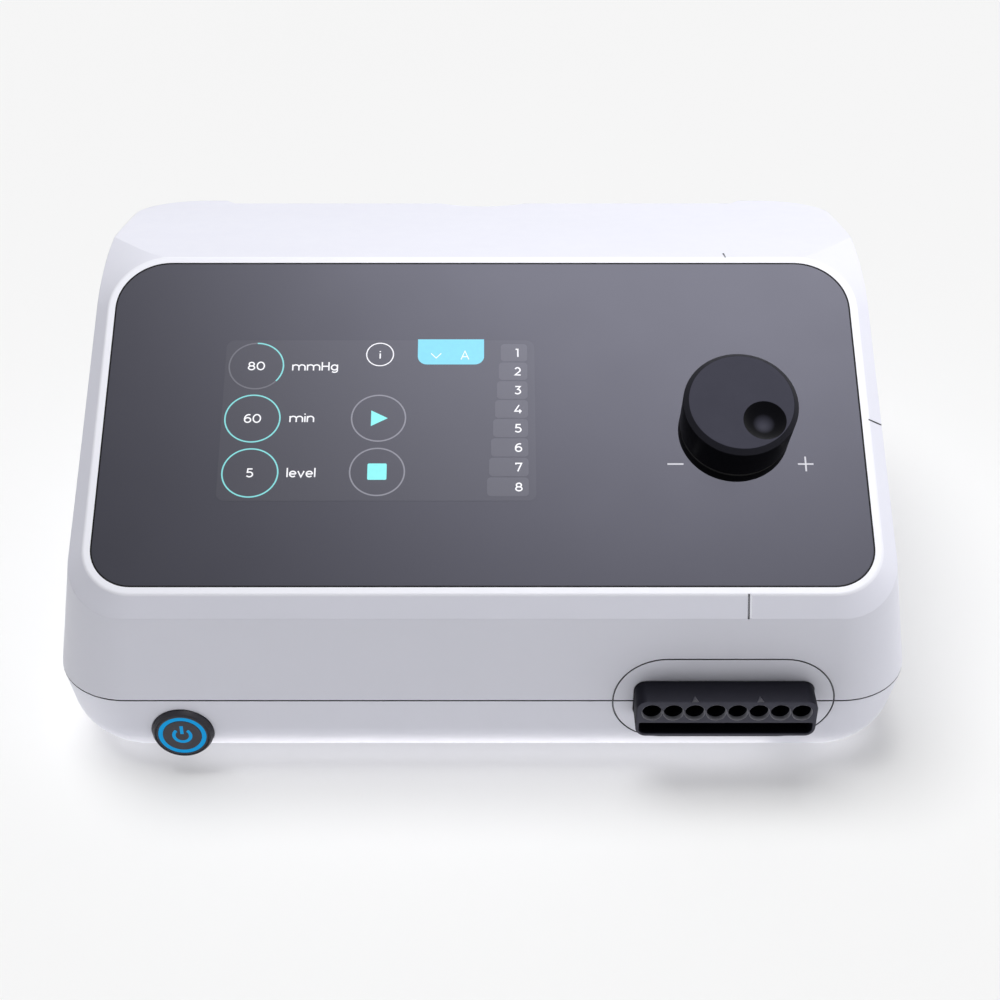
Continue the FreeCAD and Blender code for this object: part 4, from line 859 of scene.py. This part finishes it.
class PUMP_OT_screen(bpy.types.Operator):
    """Dark glass with the display's values, icons and number bars"""
    bl_idname = "pump.screen"
    bl_label = "Screen"
    ring_spots = [mm(-78.0, 82.2), mm(-78.2, 61.7), mm(-77.9, 41.1)]
    ring_size = mm(9.34, 8.98)
    key_spots = [mm(-35.35, 61.85), mm(-35.35, 41.5)]
    bar_pitch = 7.36        # from one bar's top to the next, in millimetres

    def execute(self, context):
        dress_nodes(context.scene, "panel_glass")
        look = self.look = context.scene.pump_screen
        for build, tint, level, lit in (
                (self.area, look.area, 1, False), (self.bars, look.bar, 2, False),
                (self.tab, look.tab, 2, True), (self.faint_ring, look.faint, 2, True),
                (self.dim_rings, look.grey, 2, True), (self.value_rings, look.ring, 3, True),
                (self.icons, look.cyan, 2, True), (self.letters, look.white, 3, True)):
            self.layer("screen_" + build.__name__, build, tint, level, lit)
        self.layer("panel_signs", self.signs, look.sign, 1, True, "panel_glass")
        # partly painted shade: a dark strip that deepens the gap between the glass and the rim
        seal_and_gap_shade = finished("seal_and_gap_shade_black", moulded, (0.006, 0.006, 0.007), 0.6, edge=0, gloss=0.1)
        piece("glass_seal_and_gap_shade", self.seal_and_gap_shade, panel_place(), seal_and_gap_shade, "root")
        return {"FINISHED"}

    def layer(self, name, build, tint, level, lit, slot="display_black"):
        """Printed or lit marks that lie that many skins over the glass."""
        low = level * self.look.skin
        finish = finished(name, dark_glass, *((shaded(tint, 0.05), tint) if lit else (tint,)))
        piece(name, lambda bm: build(bm, low, low + self.look.skin), panel_place(), finish, "root")

    def seal_and_gap_shade(self, bm):
        """Thin dark seal between the glass and the rim, partly a seal and partly painted shade that darkens
        the gap's line.
        """
        look = self.look
        edge = node_size("front_glass").x / 2
        away = panel_place().inverted()
        depth = max((away @ vertex.co).y for vertex in frame["nodes"]["front_glass"].data.vertices)
        radii = [look.front_corner, look.front_corner, look.rear_corner, look.rear_corner]
        ribbon(bm, rounded(-edge, 0, edge, depth, radii, 16), look.seal_and_gap_shade, -0.05 * MM, 0.03 * MM, True)

    def area(self, bm, low, high):
        """Rounded area of the display, a little lighter than the glass round it."""
        slab(bm, rounded(*mm(-88.7, 30.7, 17.9, 92.4), mm(3, 3, 3, 3)), low, high)

    def bars(self, bm, low, high):
        """Eight bars behind the numbers, each a little longer than the one over it."""
        for k in range(8):
            top = (90.9 - self.bar_pitch * k) * MM
            left = (6.3 - 0.686 * k) * MM
            slab(bm, rounded(left, top - 6.9 * MM, 15.4 * MM, top, [1.3 * MM] * 4), low, high)

    def tab(self, bm, low, high):
        slab(bm, rounded(*mm(-22.4, 82.8, 0.5, 92.8), mm(3.2, 3.2, 0, 0)), low, high)

    def faint_ring(self, bm, low, high):
        ribbon(bm, bow(*self.ring_spots[0], *self.ring_size, -41, -270, 64), self.look.line, low, high)

    def dim_rings(self, bm, low, high):
        for x, y in self.key_spots:
            ribbon(bm, loop(x, y, *mm(9.16, 8.79)), self.look.line, low, high, True)

    def value_rings(self, bm, low, high):
        """A full ring for each set value, and one that is filled to about a third."""
        first, *others = self.ring_spots
        ribbon(bm, bow(*first, *self.ring_size, 90, -41, 48), self.look.line, low, high)
        for spot in others:
            ribbon(bm, loop(*spot, *self.ring_size), self.look.line, low, high, True)

    def icons(self, bm, low, high):
        """Start triangle and stop square."""
        slab(bm, [mm(-37.9, 58.8), mm(-32.2, 61.8), mm(-37.9, 64.8)], low, high)
        slab(bm, rounded(*mm(-38.6, 38.5, -32.15, 44.6), [0.5 * MM] * 4), low, high)

    def letters(self, bm, low, high):
        """Values with their units, the bars' numbers, and the signs on the round key and the tab."""
        stroke, tall = self.look.stroke, self.look.letter
        for text, (x, y) in zip(("80", "60", "5"), self.ring_spots):
            write(bm, text, x, y - tall / 2, tall, stroke, low, high, True)
        for text, y in (("mmHg", 80.4), ("min", 60.3), ("level", 39.5)):
            write(bm, text, -65.6 * MM, y * MM, tall, stroke, low, high)
        for k in range(8):
            y = (85.8 - self.bar_pitch * k) * MM
            write(bm, str(k + 1), 12.1 * MM, y, 3.2 * MM, stroke, low, high, True)
        write(bm, "i", *mm(-35.4, 85.1, 3.0), stroke, low, high, True)
        ribbon(bm, loop(*mm(-35.45, 86.75, 4.63, 4.48)), 0.38 * MM, low, high, True)
        write(bm, "A", *mm(-6.1, 84.8, 3.4, 0.34), low, high, True)
        ribbon(bm, [mm(-17.8, 87.2), mm(-16.05, 85.3), mm(-14.3, 87.2)], 0.3 * MM, low, high)

    def signs(self, bm, low, high):
        """Minus and plus beside the knob.  The plus's upright is two parts that meet its bar."""
        thick = 0.55 * MM
        level, half = 44.4, 0.276
        for start, end in (((62.0, level), (67.4, level)), ((105.8, level), (111.0, level)),
                           ((108.4, 41.7), (108.4, level - half)), ((108.4, level + half), (108.4, 47.2))):
            ribbon(bm, [mm(*start), mm(*end)], thick, low, high)


class PUMP_OT_knob(bpy.types.Operator):
    """Turn knob with its finger dimple, and the ring that it stands on"""
    bl_idname = "pump.knob"
    bl_label = "Knob"

    def execute(self, context):
        knob = self.knob = context.scene.pump_knob
        self.foot, self.top = self.height_over_glass("knob_cap")
        _, self.ring_top = self.height_over_glass("knob_base_ring")
        finish = slot_finish(context.scene, "knob_black")
        cap = piece("turn_knob", self.cap, knob_place(), finish, "knob", ["knob_cap"])
        black = finished("knob_ring_black", moulded, knob.side, 0.4, edge=0, gloss=0.06)
        ring = piece("knob_ring", self.ring, knob_place(), black, "root", ["knob_base_ring"])
        for made in (cap, ring):
            made.visible_glossy = False
        return {"FINISHED"}

    def height_over_glass(self, name):
        """Lowest and highest height of a node over the glass."""
        place = knob_place().inverted()
        heights = [(place @ vertex.co).z for vertex in frame["nodes"][name].data.vertices]
        return min(heights), max(heights)

    def cap(self, bm):
        """Rings from the dimple's middle over the top, down the side and up into the hollow."""
        knob = self.knob
        soft = knob.softness
        dimple, depth = knob.dimple_radius, knob.dimple_depth
        ball = (dimple ** 2 + depth ** 2) / (2 * depth)
        steps = 24
        bowl = [(0, depth)]
        for k in range(1, steps + 1):
            radius = (dimple - soft / 2) * k / steps
            bowl.append((radius, depth - ball + math.sqrt(ball ** 2 - radius ** 2)))
        for radius, sink in ((-0.15, 0.14), (0.1, 0.05), (0.4, 0.012), (0.8, 0.0)):
            bowl.append((dimple + radius * soft, sink * soft * 2))
        rings = [(knob.dimple_x, knob.dimple_y, radius, self.top - sink) for radius, sink in bowl]
        x, y, lip, _ = rings[-1]
        flat = knob.top_radius - soft
        steps = 12
        for t in (k / steps for k in range(1, steps)):
            rings.append((x * (1 - t), y * (1 - t), lip * (1 - t) + flat * t, self.top))
        inner = knob.seat_radius - knob.wall
        side = softened([(0, self.top, 0), (knob.top_radius, self.top, soft),
                         (knob.rim_radius, knob.rim_height, soft), (knob.seat_radius, self.foot, soft),
                         (inner, self.foot, soft), (inner, knob.rim_height / 2, soft),
                         (0, knob.rim_height / 2, 0)])
        ring_stack(bm, rings + side[1:], 192)

    def ring(self, bm):
        """Ring with a collar that stands up inside the cap and closes the gap under it."""
        knob = self.knob
        inner = knob.seat_radius - 2 * knob.wall
        collar = knob.seat_radius - knob.wall - 0.7 * MM
        tall = self.ring_top + 2 * MM
        profile = softened([(inner, 0, 0), (knob.seat_radius, 0, knob.softness),
                            (knob.seat_radius, self.ring_top, knob.softness / 2), (collar, self.ring_top, 0),
                            (collar, tall, knob.softness), (inner, tall, 0)])
        ring_stack(bm, profile, closed=True)


class PUMP_OT_power_button(bpy.types.Operator):
    """Power button with its bezel, light ring and sign"""
    bl_idname = "pump.power_button"
    bl_label = "Power button"
    groove = 0.5 * MM

    def execute(self, context):
        look = self.look = context.scene.pump_button
        place = front_place("power_button_cap")
        bezel, cap = node_size("power_button_bezel"), node_size("power_button_cap")
        self.bezel_radius, self.depth = bezel.x / 2, bezel.y
        self.cap_radius, self.cap_length = cap.x / 2, cap.y
        self.light_radius = node_size("power_button_light").x / 2
        face = finished("button_face", moulded, look.face, 0.34, 0.3 * MM, 0.003 * MM, 0)
        grey, blue = (slot_finish(context.scene, slot) for slot in ("button_grey", "button_blue"))
        piece("button_bezel", self.bezel, place, grey, "root", ["power_button_bezel"])
        piece("button_cap", self.cap, place, face, "power_button", ["power_button_cap"])
        piece("button_light_ring", self.light, place, blue, "power_button",
              ["power_button_light"])
        piece("button_power_sign", self.sign, place, blue, "power_button")
        return {"FINISHED"}

    def turned(self, bm, corners, closed=True):
        ring_stack(bm, softened(corners), 128, closed)

    def bezel(self, bm):
        """Coned ring in front of the wall, with the guide behind it."""
        soft = self.look.softness
        mouth = self.cap_radius + 0.1 * MM
        lip = self.cap_radius + 0.6 * MM
        guide = mouth - 4 * MM
        cone = 1.4 * MM
        well = 5.0 * MM
        self.turned(bm, [(mouth, 0, 0), (lip, 0, soft * 0.6), (self.bezel_radius, -cone, soft),
                         (self.bezel_radius, -self.depth, 0), (guide, -self.depth, 0), (guide, -well, 0),
                         (mouth, -well, 0)])

    def cap(self, bm):
        """Travelling cap with a shallow groove for the light ring."""
        soft = self.look.softness
        radius, depth = self.cap_radius, self.groove
        outer = self.light_radius + 0.05 * MM
        inner = self.light_radius - 1.55 * MM
        stem = 3.5 * MM
        thick = 3.0 * MM
        self.turned(bm, [(0, 0, 0), (inner, 0, soft / 3), (inner, -depth, 0), (outer, -depth, 0),
                         (outer, 0, soft / 3), (radius, 0, soft), (radius, -thick, 0), (stem, -thick, 0),
                         (stem, -self.cap_length, 0), (0, -self.cap_length, 0)], False)

    def light(self, bm):
        outer = self.light_radius
        inner = outer - 1.5 * MM
        soft = self.look.softness
        self.turned(bm, [(inner, -self.groove, 0), (outer, -self.groove, 0), (outer, 0, soft),
                         (inner, 0, soft)])

    def sign(self, bm):
        look = self.look
        radius, skin = look.icon_radius, 0.02 * MM
        ribbon(bm, [(0, look.icon_foot), (0, look.icon_top)], look.icon_line, -skin, skin)
        ribbon(bm, bow(0, 0.1 * MM, radius, radius, 130, 410, 48), look.icon_line, -skin, skin)


class PUMP_OT_hose_socket(bpy.types.Operator):
    """Socket block with eight hose sockets over a latch slot"""
    bl_idname = "pump.hose_socket"
    bl_label = "Hose socket"
    fin_height = 1.3 * MM        # of the node's two fins, which the marks replace

    def execute(self, context):
        look = self.look = context.scene.pump_socket
        size = node_size("hose_socket")
        place = front_place("hose_socket")
        self.width, self.depth = size.x, size.y
        self.top = size.z / 2 - self.fin_height
        self.bottom = -size.z / 2
        self.bores = [place.inverted() @ Vector(mount["pos_m"]) for mount in frame["record"]["mounts"]
                      if mount["name"].startswith("hose_bore")]
        mesh = carved(self.block, [self.slot, *[self.bore(x, y) for x, y, _ in self.bores]])
        black = slot_finish(context.scene, "socket_black")
        piece("socket_block", mesh, place, black, "root", ["hose_socket"], 25)
        pale = finished("socket_mark_grey", moulded, look.mark, 0.45, 0.4 * MM, 0.006 * MM, 0, gloss=0.3)
        piece("socket_marks", self.marks, place, pale, "root", crease=10)
        # painted highlight: pale inserts in the mouths stand in for the light on their lower walls
        satin = finished("mouth_highlight_grey", moulded, look.mouth_highlight, 0.45, 0.4 * MM, 0.004 * MM, 0, gloss=0.3)
        piece("bore_mouth_highlights", self.mouth_highlights, place, satin, "root")
        return {"FINISHED"}

    def block(self, bm):
        """Long block whose front edge is softened in three steps."""
        soft = self.look.softness
        outlines = []
        for inset, z in ((0, -self.depth), (0, -soft), (soft * 0.3, -soft * 0.3), (soft, 0)):
            edge = self.width / 2 - inset
            outlines.append((rounded(-edge, self.bottom + inset, edge, self.top - inset,
                                     [self.look.corner - inset] * 4, 12), z))
        stacked(bm, outlines)

    def slot(self, bm):
        """Cutter of the latch slot with a softened mouth."""
        look = self.look
        soft = look.softness
        edge = self.width / 2 - look.lip
        foot = self.bottom + look.lip
        top = foot + look.slot_height
        outlines = []
        for grow, z in ((0, -look.slot_depth), (0, -soft), (soft * 0.3, -soft * 0.3), (soft, 0),
                        (soft, soft)):
            outlines.append((rounded(-edge - grow, foot - grow, edge + grow, top + grow,
                                     mm(2.1, 2.1, 0.6, 0.6)), z))
        stacked(bm, outlines)

    def bore(self, x, y):
        """Cutter of one hose socket: the mouth, the bore and the thin duct behind it."""
        look = self.look
        soft = look.softness
        duct = 1.6 * MM
        profile = [(0, soft), (look.mouth, soft), (look.mouth, -look.mouth_depth),
                   (look.bore_radius, -look.mouth_depth), (look.bore_radius, -look.bore_depth),
                   (duct, -look.bore_depth), (duct, -self.depth - soft), (0, -self.depth - soft)]
        return lambda bm: ring_stack(bm, [(x, y, radius, z) for radius, z in profile], 64)

    def mouth_highlights(self, bm):
        """Pale coned insert in the mouth of each hose socket: painted light, standing in for the lit lower
        wall of each mouth.
        """
        look = self.look
        play = 0.02 * MM
        outer = look.mouth - play
        rear = play - look.mouth_depth
        for x, y, _ in self.bores:
            ring_stack(bm, [(x, y, look.bore_radius, rear), (x, y, outer - 2 * play, -play),
                            (x, y, outer, -play), (x, y, outer, rear)], 64, True)

    def marks(self, bm):
        """Small three-sided marks that fall back from the top of the front face."""
        half, back, sunk, away = mm(1.2, 3.0, 0.1, 10.7)
        for x in (-away, away):
            left, right, peak, rear = [bm.verts.new(corner) for corner in (
                (x - half, self.top - sunk, 0), (x + half, self.top - sunk, 0),
                (x, self.top + self.fin_height, 0), (x, self.top - sunk, -back))]
            for face in ((left, right, peak), (right, rear, peak), (rear, left, peak), (left, rear, right)):
                bm.faces.new(face)


class VIEW3D_PT_pump(bpy.types.Panel):
    """Sidebar with the pump's pieces and their settings"""
    bl_label = "Compression pump"
    bl_space_type = "VIEW_3D"
    bl_region_type = "UI"
    bl_category = "Pump"

    def draw(self, context):
        for operator in OPERATORS:
            self.layout.operator(operator.bl_idname)
        for name, group in SETTINGS.items():
            box = self.layout.box()
            box.label(text=name.split("_")[1].capitalize())
            for key in group.__annotations__:
                box.prop(getattr(context.scene, name), key)


OPERATORS = (PUMP_OT_case, PUMP_OT_inside, PUMP_OT_screen, PUMP_OT_knob, PUMP_OT_power_button,
             PUMP_OT_hose_socket, PUMP_OT_stage)
CLASSES = (*SETTINGS.values(), *OPERATORS, VIEW3D_PT_pump)


def register():
    for made in CLASSES:
        bpy.utils.register_class(made)
    for name, group in SETTINGS.items():
        setattr(bpy.types.Scene, name, bpy.props.PointerProperty(type=group))


def unregister():
    for name in SETTINGS:
        delattr(bpy.types.Scene, name)
    for made in reversed(CLASSES):
        bpy.utils.unregister_class(made)


def main():
    register()
    bpy.ops.pump.case()
    bpy.ops.pump.inside()
    bpy.ops.pump.screen()
    bpy.ops.pump.knob()
    bpy.ops.pump.power_button()
    bpy.ops.pump.hose_socket()
    bpy.ops.pump.stage()


if __name__ == "__main__":
    main()
